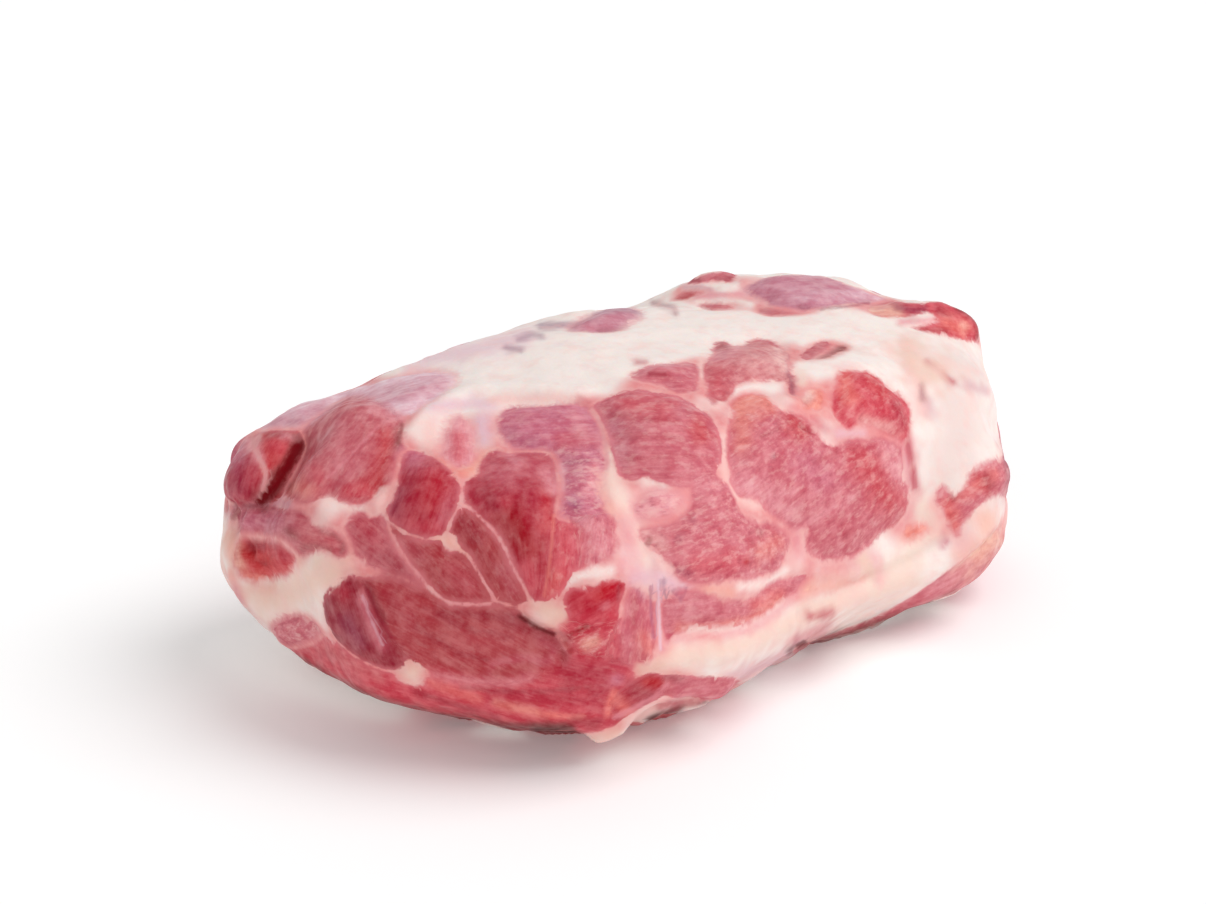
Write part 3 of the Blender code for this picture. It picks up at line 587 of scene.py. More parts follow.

# Thin lean, veins and bruises that show through whatever they lie on, and painted shadows in folds and under
# edges, given the same way
BONED_SIDE_MARKS = {
    # Painted shadow under the ear's lower edge
    "under_ear_shadow": (((-130, -7.4), (-126, -7.6), (-123, -7.4)), 0.7, "wine", 0.5),
    "strap_tip": (((-131.5, -11), (-130, -9.6)), 1, "brown", 0.5),
    "blue_spot_right": (((3.3, -31), (3.4, -33.6)), 0.9, "dusk_violet", 0.5),
    "blue_spot_low": (((8.5, -34.5),), 1.4, "mauve_rose", 0.4),
    "brown_dot": (((-1, -18), (-1.5, -20)), 0.9, "brown", 0.5),
    "film_tip": (((-23, 26), (-20.5, 24.5)), 1.3, "dusk_rose", 0.35),
    "side_line": (((1.8, -31.5), (2, -40), (2.5, -53)), 0.42, "pale_mauve", 0.85),
    "lobe_line": (((-91, -36), (-88, -44), (-84.5, -51.5)), 0.4, "pale_mauve", 0.35),
    "lobe_shadow": (((-89.5, -34), (-86, -42), (-82, -49)), 0.7, "wine", 0.6),
    "plane_shadow": (((-42, -42.2), (-36.4, -45.6), (-30.8, -48)), 0.6, "dark_wine", 0.75),
    "mottle_shadow": (((-25.5, -47.4), (-23, -46.6), (-20.6, -45)), 0.6, "deep_crimson", 0.6),
    "small_top_line": (((-1, 33.8), (4, 33.6)), 0.7, "wine", 0.6),
    "rough_tail": (((18, 27), (19.5, 25)), 1.1, "dusk_rose", 0.7),
    "ear_rim": (
        ((-125.4, 13.4), (-124.6, 9.9), (-122.4, 5.5), (-121.4, 1.7), (-122.2, -2), (-123.2, -4.6)),
        0.8, "skin", 0.85),
    "crown_line": (((-86, 17.5), (-92, 11), (-98, 5), (-102, 1)), 0.45, "pale_rose", 0.4),
    "crown_corner_line": (((-78.6, 17.6), (-79, 14.6), (-79.8, 12)), 0.6, "brown", 0.6),
    "strip_line": (((-31, -10.8), (-31.7, -20.5), (-32.9, -29.5), (-34, -36)), 0.5, "salmon", 0.4),
    "film_line": (((-19, 22), (-16, 17), (-14.8, 10), (-14.6, 4)), 0.6, "skin", 0.6),
    "mottle_low_dark": (((-27.4, -50.6), (-25.6, -53.4)), 0.9, "deep_crimson", 0.6),
    "corner_dark_line": (((-0.7, -33), (-0.4, -42), (0.3, -49)), 0.45, "violet", 0.5),
    "blue_spot_line": (((3.5, -34), (4.4, -37)), 0.4, "dusk_violet", 0.5),
    "band_violet_one": (((6.4, -34.6), (9, -36.6)), 0.5, "violet", 0.45),
    "band_violet_two": (((10.6, -33.6), (8.6, -37.6)), 0.5, "violet", 0.4),
    "foot_pale_line": (((4.6, -63.6), (1, -67), (-5, -70.6), (-12, -74)), 0.8, "pale_rose", 0.6),
    # Painted shadow at the lower edge, where it meets the floor
    "foot_point_shadow": (((45.6, -51.6), (48, -50.4)), 0.7, "blood", 0.7),
    "window_line": (((53, 54), (60, 54.8), (68, 56)), 0.45, "plum", 0.45),
    # Painted shadow, crisp, at the deepest line of the fold at the ear
    "ear_shadow": (
        ((-111.4, 10.6), (-114.2, 5.4), (-117.2, 0.4), (-120.4, -3.6), (-123, -6.4)),
        1.7, "dark_blood", 0.95),
}

# Folds and knife marks: path, half width, depth and how dark the painted shade in it is
BONED_SIDE_FOLDS = {
    "ear_fold": (((-110.8, 11), (-113.5, 4.5), (-117, -0.5), (-122, -5.5)), 3, 2.2, 0.3),
    "ear_foot": (((-124, -7.5), (-131, -7.5), (-137, -6)), 1.8, 2, 0.3),
    "pit_notch": (((-127, -20), (-124.5, -22)), 1.6, 1.5, 0.2),
    "plane_crease": (((-41, -42.5), (-37, -44.8), (-32, -47), (-27.5, -49)), 1.3, 1.2, 0.3),
    "shin_crease": (((-89.5, -33), (-87, -38), (-84.5, -43)), 1.3, 0.8, 0.25),
    "eye_nick": (((46.5, 17), (50, 15.8)), 1.1, 1, 0.3),
    "corner_nick": (((-25.5, -47.6), (-20, -45.6)), 0.9, 0.7, 0.15),
    "under_strap": (((-131, -8.5), (-129, -10)), 1.6, 1.5, 0.3),
    "ledge_crease": (((44, -41.6), (52, -37), (61, -32.6), (71, -28.6), (81, -24), (91, -18)), 1.8, 1, 0.06),
}

# Rolls that stand proud: path, half width and rise
BONED_SIDE_ROLLS = {
    "crown_roll": (((-83, 0), (-78, 12), (-70, 21), (-58, 27), (-40, 28), (-24, 27)), 4, 1.4),
    "ledge_roll": (((-2, -57), (20, -54), (40, -45), (62, -36), (90, -26), (106, -13)), 4.5, 1.8),
    "under_crown_roll": (((-112, -8), (-98, -9), (-86, -7)), 3, 1),
    "fat_edge_roll": (((6, -66), (0, -72), (-8, -76), (-17, -79)), 3, 1.5),
}

# Places drawn out or pressed in: a place on the chart, how far round it the pull reaches, and the pull
# itself across, up and towards the eye.
BONED_SIDE_GRABS = {
    "corner_foot": ((-16, -79), 6, (0, -2, 4)),
    "under_corner": ((-30, -80), 9, (0, 4.6, -2)),
    "right_of_foot": ((4, -73), 9, (0, 6.6, 0)),
    "under_ledge": ((38, -59), 9, (0, 4.8, 0)),
    "cap_left": ((-3, 57), 11, (0, -4.2, 0)),
    "before_flap": ((78, 58), 13, (0, -3.6, 0)),
    "flap_corner": ((102, 50), 7, (1.5, 1.5, 0)),
    "loin_side": ((109, 18), 12, (-4.4, 0, 0)),
    "ear_shoulder": ((-123, 21), 8, (1, -1.8, 0)),
    "shank_side": ((-134, -34), 7, (2, 0, 0)),
    "strap_side": ((-132, -11), 5, (4, 0, 0)),
    "ear_side": ((-135, 3), 6, (2.8, 0, 0)),
    "top_left_film": ((-31, 50), 10, (0, -1.3, 0)),
    "loin_low_side": ((112, -10), 6, (-2, 0, 0)),
    "bottom_left": ((-83, -71), 7, (0, 1.4, 0)),
    "bottom_middle": ((-52, -77), 9, (0, 1.6, 0)),
    "under_foot": ((11, -71), 6, (0, 3.4, 0)),
    "under_loin": ((84, -41), 11, (0, 2.2, 0)),
    "under_side": ((58, -49), 9, (0, -1.2, 0)),
}

# The sides that face away from the boned side, given the same way: the loin end, the back, the far corner
# of the shoulder and the underside
LOIN_END_MUSCLES = {
    "loin_eye": ("rose", 60, 0.5, 0, (
        (-30, 11), (-23, 22), (-8, 28), (14, 28), (32, 23), (41, 12), (38, 0), (24, -7), (4, -9),
        (-14, -6), (-28, -1))),
    "loin_cap": ("crimson", 20, 0.2, 0, (
        (-31, 25), (-18, 31), (2, 34), (24, 33), (40, 26), (48, 15), (44, 13), (36, 23), (20, 30),
        (-2, 31), (-20, 26), (-29, 21))),
    "loin_top_near": ("red", 50, 0.1, 0.1, (
        (-50, 2), (-42, 1), (-36, 6), (-33, 14), (-36, 20), (-43, 17), (-49, 10))),
    "loin_low_near": ("brick", -10, 0.4, 0, (
        (-42, -9), (-37, -2), (-28, -4), (-18, -11), (0, -14), (4, -20), (-8, -29), (-28, -31),
        (-41, -24))),
    "loin_low_far": ("rose_red", 15, 0.3, 0, (
        (8, -14), (24, -11), (40, -5), (48, -8), (50, -20), (43, -29), (26, -33), (8, -27))),
    "loin_strap": ("rose", -10, 0.3, 0.2, (
        (-92, -3), (-76, 0), (-62, -2), (-51, -4), (-45, -11), (-46, -20), (-58, -25), (-74, -25),
        (-92, -28))),
    "foot_strap": ("rose", -12, 0.3, 0.3, (
        (-92, -34), (-78, -35), (-64, -38), (-48, -43), (-32, -46), (-24, -52), (-40, -60),
        (-92, -60))),
    "loin_far_strip": ("dusk_rose", 80, 0.3, 0, (
        (45, 14), (54, 21), (61, 10), (60, -8), (53, -14), (52, -5), (46, 2))),
}
LOIN_END_STAINS = {
    "eye_dark": (((-14, 14), (8, 16), (26, 10)), 6, "brown_red", 0.45),
    "eye_pale": (((-18, 0), (4, -4), (22, -2)), 2.6, "pale_rose", 0.5),
    "strap_dark": (((-70, -12), (-56, -13)), 5, "crimson", 0.5),
    "low_red": (((-28, -18), (-10, -20)), 4, "crimson", 0.45),
    "foot_deep": (((-70, -46), (-50, -50)), 4, "wine", 0.5),
}
LOIN_END_WASHES = {
    "eye_ring": (((-32, -4), (-14, -10), (6, -11)), 3, "pink_fat", 0.7),
    "low_blush": (((-30, -38), (0, -38), (30, -38)), 5, "beige_fat", 0.6),
    "near_cream": (((-58, 6), (-52, 12)), 5, "cream_fat", 0.8),
}
BACK_MUSCLES = {
    "back_long": ("dusk_rose", 4, 0.25, 0.2, (
        (-98, 2), (-84, 12), (-62, 17), (-36, 14), (-12, 15), (12, 11), (34, 12), (50, 5), (46, -4),
        (30, -8), (8, -6), (-16, -9), (-44, -6), (-70, -8), (-90, -7))),
    "back_low": ("brick", -4, 0.3, 0.2, (
        (-96, -11), (-80, -11), (-58, -8.6), (-36, -9.6), (-14, -12), (8, -9), (28, -11), (44, -7.6),
        (58, -12), (66, -22), (52, -31), (24, -34), (-8, -31), (-40, -35), (-72, -30), (-92, -24))),
    "back_shoulder": ("rose_red", 35, 0.2, 0.1, (
        (53, 7), (64, 17), (80, 22), (98, 16), (110, 4), (108, -10), (96, -16), (80, -12), (66, -13),
        (53, -6))),
    "back_foot": ("rose", 10, 0.3, 0.3, (
        (64, -16), (72, -16), (88, -19), (104, -18), (108, -28), (92, -36), (68, -34), (60, -30),
        (68, -23))),
    "back_loin": ("dusk_rose", -20, 0.3, 0.3, (
        (-124, -2), (-110, 9), (-100, 6), (-101, -5), (-99, -12), (-106, -18), (-118, -18))),
    "back_red": ("crimson", 60, 0.1, 0.1, (
        (37, 15), (44, 21), (56, 24), (64, 20), (54, 11), (47, 9))),
    "back_window_small": ("pale_mauve", 0, 0, 0.9, ((26, 31), (42, 33), (56, 31), (42, 28))),
}
BACK_STAINS = {
    "long_dark": (((-80, 4), (-50, 6), (-20, 3)), 4, "crimson", 0.5),
    "long_pale": (((-60, 14), (-30, 12)), 3, "pale_rose", 0.6),
    "long_end": (((20, 4), (40, 3)), 5, "rose_red", 0.6),
    "low_dark": (((-60, -22), (-30, -24)), 5, "brown_red", 0.6),
    "low_pale": (((-10, -16), (20, -18)), 3, "pale_rose", 0.5),
    "low_end": (((44, -18), (56, -22)), 4, "crimson", 0.5),
    "shoulder_dark": (((74, 2), (92, 0)), 6, "crimson", 0.7),
    "shoulder_pale": (((84, 17), (98, 10)), 3, "coral", 0.5),
}
BACK_WASHES = {
    "long_seam": (((-70, -10), (-30, -9), (10, -10), (44, -8)), 2.5, "pale_rose", 0.6),
    "cap_blush": (((-90, 22), (-66, 24)), 5, "pink_fat", 0.7),
    "cap_cream": (((20, 22), (34, 24)), 6, "cream_fat", 0.8),
    "foot_cream": (((-60, -40), (0, -40), (50, -38)), 5, "beige_fat", 0.6),
}
SHOULDER_BACK_MUSCLES = {
    "far_crown": ("brick", 40, 0.2, 0.1, (
        (-34, 22), (-12, 31), (14, 29), (28, 17), (22, 7), (4, 4), (-12, 6), (-28, 9))),
    "far_round": ("crimson", 10, 0.1, 0.1, (
        (-46, 4), (-32, 7), (-16, 3), (-7, -4), (-8, -16), (-20, -23), (-36, -22), (-48, -12))),
    "far_strap": ("dusk_rose", -20, 0.3, 0.2, (
        (-4, 0), (10, 2), (24, 4), (38, -6), (36, -20), (20, -25), (4, -24), (-4, -16), (-3, -8))),
    "far_edge": ("rose", 60, 0.3, 0.3, (
        (30, 15), (42, 18), (54, 8), (54, -6), (44, -12), (41, -4), (28, 6))),
}
UNDERSIDE_MUSCLES = {
    "under_front": ("brick", 4, 0.35, 0, (
        (-100, 46), (-60, 62), (-20, 56), (24, 54), (64, 60), (94, 46), (80, 30), (30, 26), (-30, 28),
        (-86, 26))),
    "under_middle": ("rose_red", -6, 0.3, 0, (
        (-112, 16), (-60, 20), (-10, 20), (40, 18), (56, 4), (30, -10), (-20, -14), (-70, -12),
        (-108, -6))),
    "under_loin": ("rose", 12, 0.4, 0, (
        (66, 20), (94, 28), (112, 10), (104, -16), (76, -26), (58, -8))),
    "under_back": ("dusk_rose", 2, 0.3, 0, (
        (-92, -24), (-40, -24), (10, -22), (48, -26), (74, -38), (40, -54), (-10, -58), (-64, -68),
        (-100, -54))),
}

CHARTS = (
    {
        "azimuth": BONED_SIDE_AZIMUTH,
        "elevation": BONED_SIDE_ELEVATION,
        "muscles": BONED_SIDE_MUSCLES,
        "stains": BONED_SIDE_STAINS,
        "washes": BONED_SIDE_WASHES,
        "marks": BONED_SIDE_MARKS,
        "folds": BONED_SIDE_FOLDS,
        "rolls": BONED_SIDE_ROLLS,
        "grabs": BONED_SIDE_GRABS,
    },
    {
        "azimuth": 88,
        "elevation": 6,
        "muscles": LOIN_END_MUSCLES,
        "stains": LOIN_END_STAINS,
        "washes": LOIN_END_WASHES,
    },
    {
        "azimuth": 165,
        "elevation": 12,
        "muscles": BACK_MUSCLES,
        "stains": BACK_STAINS,
        "washes": BACK_WASHES,
    },
    {"azimuth": -125, "elevation": 10, "muscles": SHOULDER_BACK_MUSCLES},
    {"azimuth": 0, "elevation": -90, "muscles": UNDERSIDE_MUSCLES},
)

# A gap between two muscles closes towards a thin seam: up to the narrow width it keeps a share of its
# width, and from the wide width on it stays as drawn. Muscles that touch or overlap have a seam too.
NARROW_GAP, WIDE_GAP = 3, 5.5  # mm
SEAM_SHARE = 0.25
THIN_SEAM = 0.38  # mm, half the width of the thinnest seam
JOIN_REACH = 3  # mm across which muscles that run into one another blend
THIN_FAT, THICK_FAT = 4, 13  # mm between which fat turns from seam to white
SEAM_LEAN = 0.2  # how much of the muscle's own tone shows in a thin seam beside it
MESH_SLACK = 0.8  # mm by which the mesh may blur the depth at a seam or in a mark

OUTLINE_STEP = 0.45  # mm between the points of an outline or a line that is laid on the meat
FAR_OUT = 15  # mm, as deep into fat or lean as a border still matters
MARK_REACH = 4  # mm round a mark in which its tone is known
FAN_REACH = 25  # mm from its focus at which a fan of fibres has its true spacing
HORIZON = -0.05  # how far round past a chart's edge its muscles reach, as the cosine of the way out
HORIZON_FADE = 40  # mm of depth into the muscle for each unit of that cosine
OVERLAP = 0.04  # how far the hidden sides' muscles come back over the boned side's edge, likewise
WASH_EDGE = 0.15  # how far round past a chart's edge its soft patches fade out, likewise

# How many times values are eased towards their neighbours: the facets of the solid, the ways out with
# and without the muscles' swell, and the depths that the relief is made from
FACET_EASING, BROAD_EASING, FINE_EASING, RELIEF_EASING = 18, 240, 10, 4

# Unevenness of the cut surface: size of the bumps and their height in mm, and the seed of their noise
UNEVENNESS = ((16, 0.7, 1), (6, 0.35, 2))
SWELL_REACH, PAD_REACH = 5, 3  # mm from its border in which lean and fat rise to their full swell
FOLD_REACH = 3  # widths of a fold, roll or soft patch within which it counts
RAGGED_SIZE, RAGGED_SHARE, RAGGED_SEED = 4, 0.5, 3  # mm, share and seed of how ragged soft patches are
SOLE = 0.6  # mm under which the meat lies flat on the board
SAME_POINT = 1e-6  # m between corners of the solid that are one point
SEAM_TURNS = (2.4, 1.1)  # radians for each muscle's number, by which every seam has a way of its own
PAIRS_AT_ONCE = 2_000_000  # how many pairs of points are held in memory

# Sizes of the patterns in the meat, in mm. Fibres are under 0.1 mm thick and their bundles about 1 mm,
# too fine to show, so both are drawn coarser.
FIBRE_SIZE, BUNDLE_SIZE = 0.9, 2.4
FLECK_SIZE = 2.1  # streaks of marbling
MOTTLE_SIZE = 4  # clouds of darker and lighter lean
SEAM_SIZE = 7  # stretches over which a seam is wider and narrower
WANDER_SIZE, FRAY_SIZE = 4, 1.7  # bends and frays of the border between lean and fat
RIM_SIZE = 8  # stretches over which the pale rim of a muscle is stronger and weaker
FAT_CLOUD_SIZE = 7  # clouds where the fat is thin
RIPPLE_SIZE, SHINE_SIZE = 2.2, 5  # unevenness of the wet surface, and its moister patches
FIBRE_STRETCH = (0.08, 1, 0.3)  # share of the grain's length, width and depth that a fibre follows
FLECK_STRETCH = (0.5, 1, 0.5)  # the same for a streak of marbling
WANDER, FRAY = 2.4, 2.2  # mm by which the border bends and frays, from one side to the other

# Shares of red, green and blue that the darker and the lighter fibres and the pores have of the muscle's
# tone, and how much fat colour is in the lighter ones
WHITE = (1, 1, 1, 1)
DARK_TINT = (0.9, 0.74, 0.78, 1)
LIGHT_TINT = (1.06, 1.22, 1.18, 1)
PORE_TINT = (0.78, 0.6, 0.64, 1)
LIGHT_FAT = 0.13

# Wet flesh: a little shine, as its juice lies in a thin and broken film, and light that goes into it
# and comes out redder
FLESH_IOR = 1.4
FLESH_SHINE = 0.15
FLESH_GLOW, GLOW_REACH = 0.2, (1.0, 0.38, 0.26)
GLOW_SCALE = 2  # mm
RIPPLE_STRENGTH, RIPPLE_HEIGHT = 0.45, 0.5  # share and mm
DRY_MARK = 0.45  # how much rougher a mark is than the meat round it
FLOOR_ROUGHNESS = 0.9

CAMERA_REACH = 20  # m
FLOOR_HALF_WIDTH, FLOOR_DROP = 6, 0.0002  # m, the drop being how far the floor lies under the meat
# Each light: its name, where it shines from, and how many degrees wide it is
LIGHTS = (("key", (0.45, -0.55, 1), 45), ("fill", (-0.8, -0.5, 0.5), 60))


def linear_from_hex(code):
    """A linear colour with alpha from an sRGB hex value."""
    parts = [int(code[at : at + 2], 16) / 255 for at in (1, 3, 5)]
    return [part / 12.92 if part <= 0.04045 else ((part + 0.055) / 1.055) ** 2.4 for part in parts] + [1]


def linear_tone(name):
    """The linear colour of a tone, without alpha."""
    return np.array(linear_from_hex(TONES[name])[:3])


class Chart:
    """A picture plane through the heart, facing an eye, with what is drawn on it."""

    def __init__(self, azimuth, elevation, **drawn):
        turn, tilt = math.radians(azimuth), math.radians(elevation)
        self.drawn = drawn
        self.right = np.array((math.cos(turn), math.sin(turn), 0))
        self.back = np.array(
            (
                math.sin(turn) * math.cos(tilt),
                -math.cos(turn) * math.cos(tilt),
                math.sin(tilt),
            )
        )
        self.up = np.cross(self.back, self.right)
        self.eye = HEART + self.back * EYE_DISTANCE

    def all(self, kind):
        """What is drawn of one kind, such as its stains."""
        return self.drawn.get(kind, {}).values()

    def place(self, points):
        """Where points show on the chart: across, up, and how far in front of the heart's plane."""
        away = points - HEART
        depth = away @ self.back
        shrink = EYE_DISTANCE / (EYE_DISTANCE - depth)
        return np.stack([away @ self.right * shrink, away @ self.up * shrink, depth], axis=1)

    def facing(self, points, out):
        """How squarely the meat faces the eye at each point, from -1 to 1."""
        look = self.eye - points
        look /= np.linalg.norm(look, axis=1)[:, None]
        return (out * look).sum(axis=1)

    def lay(self, tree, path):
        """The points of a chart path laid on the meat, leaving out any that miss it."""
        laid = []
        for across, up in path:
            aim = Vector(HEART + self.right * across + self.up * up - self.eye)
            hit = tree.ray_cast(Vector(self.eye), aim.normalized())[0]
            if hit is not None:
                laid.append(hit)
        return np.array(laid).reshape(-1, 3)


def smooth_curve(corners, closed):
    """Points, OUTLINE_STEP apart, along a smooth curve through the corners."""
    corners = np.array(corners, float)
    if len(corners) == 1:
        return corners
    if closed:
        corners = np.concatenate([corners[-1:], corners, corners[:2]])
    else:
        corners = np.concatenate([corners[:1], corners, corners[-1:]])
    points = []
    for before, start, end, after in zip(corners, corners[1:], corners[2:], corners[3:]):
        steps = max(2, int(np.linalg.norm(end - start) / OUTLINE_STEP))
        part = np.arange(steps)[:, None] / steps
        bend = 2 * before - 5 * start + 4 * end - after + part * (3 * (start - end) + after - before)
        points.append(start + 0.5 * part * (end - before + part * bend))
    return np.concatenate(points)


def inside(places, outline):
    """Which chart places lie inside a closed outline."""
    across, up = places[:, 0], places[:, 1]
    found = np.zeros(len(places), bool)
    for (x0, y0), (x1, y1) in zip(outline, np.roll(outline, -1, axis=0)):
        if y0 == y1:
            continue
        crosses = (y0 > up) != (y1 > up)
        found ^= crosses & (across < x0 + (up - y0) * (x1 - x0) / (y1 - y0))
    return found


def ways(points, samples, limit):
    """The way from each point to the nearest sample, or one as long as the limit where none is near."""
    found = np.zeros_like(points)
    found[:, 0] = limit
    if not len(samples):
        return found
    low, high = samples.min(axis=0) - limit, samples.max(axis=0) + limit
    close = np.flatnonzero(((points > low) & (points < high)).all(axis=1))
    for some in np.array_split(close, max(1, len(close) * len(samples) // PAIRS_AT_ONCE)):
        gaps = samples[None] - points[some][:, None]
        found[some] = gaps[np.arange(len(some)), (gaps**2).sum(axis=2).argmin(axis=1)]
    return found


def nearest(points, samples, limit):
    """The distance from each point to the nearest sample, up to a limit."""
    return np.minimum(limit, np.linalg.norm(ways(points, samples, limit), axis=1))


def ease(low, high, value):
    """0 below low, 1 above high, and a smooth rise between."""
    part = np.clip((value - low) / (high - low), 0, 1)
    return part * part * (3 - 2 * part)


class Surface:
    """The meat's surface as arrays: points and ways out in millimetres, and its edges."""

    def __init__(self, mesh):
        self.mesh = mesh
        count = len(mesh.vertices)
        flat = np.empty(count * 3)
        mesh.vertices.foreach_get("co", flat)
        self.points = flat.reshape(-1, 3) / MM
        ends = np.empty(len(mesh.edges) * 2, int)
        mesh.edges.foreach_get("vertices", ends)
        self.ends = ends.reshape(-1, 2)
        self.neighbours = np.bincount(self.ends.ravel(), minlength=count)[:, None]

    def eased(self, values, times, share=0.5):
        """The values, one row a vertex, eased towards those of the neighbours."""
        first, second = self.ends.T
        count = len(self.points)
        for _ in range(times):
            total = np.empty_like(values)
            for column in range(values.shape[1]):
                part = values[:, column]
                total[:, column] = np.bincount(first, part[second], count)
                total[:, column] += np.bincount(second, part[first], count)
            values = values + share * (total / self.neighbours - values)
        return values

    def write(self):
        """Puts the points back in the mesh."""
        self.mesh.vertices.foreach_set("co", (self.points * MM).ravel())
        self.mesh.update()

    def out(self):
        """The way out at each vertex."""
        self.write()
        flat = np.empty(len(self.points) * 3)
        self.mesh.vertex_normals.foreach_get("vector", flat)
        return flat.reshape(-1, 3)

    def smooth_out(self, times):
        """The way out at each vertex, without the bumps: the more times it is eased, the larger ones."""
        out = self.eased(self.out(), times)
        return out / np.linalg.norm(out, axis=1)[:, None]

    def tree(self):
        """A search tree of the surface, for laying outlines on it."""
        self.mesh.calc_loop_triangles()
        corners = np.empty(len(self.mesh.loop_triangles) * 3, int)
        self.mesh.loop_triangles.foreach_get("vertices", corners)
        return BVHTree.FromPolygons(self.points.tolist(), corners.reshape(-1, 3).tolist())


def fine_mesh(source, cell):
    """The solid's surface again, in even cells, with its facets eased away."""
    rough = bpy.data.meshes.new("meat_rough")
    whole = bmesh.new()
    whole.from_mesh(source.data)
    bmesh.ops.remove_doubles(whole, verts=whole.verts, dist=SAME_POINT)
    whole.to_mesh(rough)
    whole.free()
    maker = bpy.data.objects.new("meat_rough", rough)
    bpy.context.scene.collection.objects.link(maker)
    remesh = maker.modifiers.new("even_cells", "REMESH")
    remesh.mode = "VOXEL"
    remesh.voxel_size = cell
    graph = bpy.context.evaluated_depsgraph_get()
    made = bpy.data.meshes.new_from_object(maker.evaluated_get(graph))
    bpy.data.objects.remove(maker)
    bpy.data.meshes.remove(rough)
    return made


def bumps(points, size, seed):
    """Smooth noise from about -1 to 1 at each point, in bumps of the given size."""
    shift = Vector((seed * 17.3, seed * 5.1, seed * 11.7))
    return np.array([noise.noise(Vector(point) / size + shift) for point in points])


def grain_on(places, way):
    """Grain coordinates on a chart: along the fibres, across them and in depth, in millimetres. The way
    that fibres run is an angle, or the place that they fan out from."""
    if isinstance(way, tuple):
        away = places[:, :2] - way
        reach = np.linalg.norm(away, axis=1)
        along, across = reach, np.arctan2(away[:, 1], away[:, 0]) * FAN_REACH
    else:
        turn = math.radians(way)
        along = places[:, 0] * math.cos(turn) + places[:, 1] * math.sin(turn)
        across = places[:, 1] * math.cos(turn) - places[:, 0] * math.sin(turn)
    return np.stack([along, across, places[:, 2]], axis=1)


def map_muscles(surface, tree, out, charts):
    """What lies at each vertex: how deep in lean it is, the seam between its two nearest muscles, the
    tones, the grain, the marbling and the haze."""
    count = len(surface.points)
    lean = np.full(count, -float(FAR_OUT))
    second = lean.copy()
    owner, rival = np.zeros(count, int), np.zeros(count, int)
    tone = np.tile(linear_tone("seam"), (count, 1))
    grain = surface.points.copy()
    marbling = np.zeros(count)
    haze = np.zeros(count)
    names, tones = [""], [linear_tone("seam")]
    hidden = -charts[0].facing(surface.points, out)
    for chart in charts:
        places = chart.place(surface.points)
        facing = chart.facing(surface.points, out)
        if chart is not charts[0]:
            facing = np.minimum(facing, hidden + HORIZON + OVERLAP)
        for name, (colour, way, fat, softness, corners) in chart.drawn.get("muscles", {}).items():
            number = len(names)
            names.append(name)
            tones.append(linear_tone(colour))
            outline = smooth_curve(corners, True)
            within = inside(places, outline) & (facing > HORIZON)
            gap = nearest(surface.points, chart.lay(tree, outline), FAR_OUT)
            depth = np.where(within, gap, -gap)
            depth = np.minimum(depth, (facing - HORIZON) * HORIZON_FADE)
            deeper = depth > lean
            rival = np.where(deeper, owner, np.where(depth > second, number, rival))
            second = np.where(deeper, lean, np.maximum(second, depth))
            owner[deeper] = number
            lean[deeper] = depth[deeper]
            inner = deeper & (depth > -WIDE_GAP / 2)
            tone[inner] = tones[number]
            marbling[inner] = fat
            haze[inner] = softness
            grain[inner] = grain_on(places, way)[inner]
    gap = np.maximum(-(lean + second), 0)
    kept_width = SEAM_SHARE + (1 - SEAM_SHARE) * ease(NARROW_GAP, WIDE_GAP, gap)
    half_seam = np.maximum(THIN_SEAM, gap / 2 * kept_width)
    from_middle = (lean - second) / 2
    depth = from_middle - half_seam
    turn = np.minimum(owner, rival) * SEAM_TURNS[0] + np.maximum(owner, rival) * SEAM_TURNS[1]
    aside = from_middle * np.where(owner < rival, 1, -1)
    joined = np.zeros((len(names), len(names)), bool)
    for first, other in JOINED:
        joined[names.index(first), names.index(other)] = True
    runs_on = (joined | joined.T)[owner, rival] & (second > -JOIN_REACH)
    depth[runs_on] = (lean + (JOIN_REACH + np.minimum(second, 0)) / 2)[runs_on]
    aside[runs_on] = FAR_OUT
    blend = (np.clip(1 - from_middle / JOIN_REACH, 0, 1) / 2 * runs_on)[:, None]
    tone += blend * (np.array(tones)[rival] - tone)
    thickness = ease(THIN_FAT, THICK_FAT, gap)[:, None]
    seam = tone * SEAM_LEAN + linear_tone("seam") * (1 - SEAM_LEAN)
    fat_tone = seam * (1 - thickness) + linear_tone("fat") * thickness
    return {
        "lean": depth,
        "half_seam": half_seam,
        "aside": np.stack([aside * np.cos(turn), aside * np.sin(turn), np.zeros(count)], axis=1),
        "tone": surface.eased(tone, 2),
        "fat_tone": surface.eased(fat_tone, 1),
        "grain": grain,
        "marbling": surface.eased(marbling[:, None], 2)[:, 0],
        "haze": surface.eased(haze[:, None], 2)[:, 0],
    }


def wash(surface, out, charts, ragged, tone, kind):
    """The tones with each chart's soft patches of one kind over them."""
    for chart in charts:
        flat = chart.place(surface.points)
        flat[:, 2] = 0
        faces = ease(-WASH_EDGE, 0, chart.facing(surface.points, out))
        for path, width, colour, strength in chart.all(kind):
            samples = np.pad(smooth_curve(path, False), ((0, 0), (0, 1)))
            gap = nearest(flat, samples, FOLD_REACH * width)
            share = strength * faces * np.exp(-((gap * ragged / width) ** 2)) * (gap < FOLD_REACH * width)
            tone = tone + share[:, None] * (linear_tone(colour) - tone)
    return tone


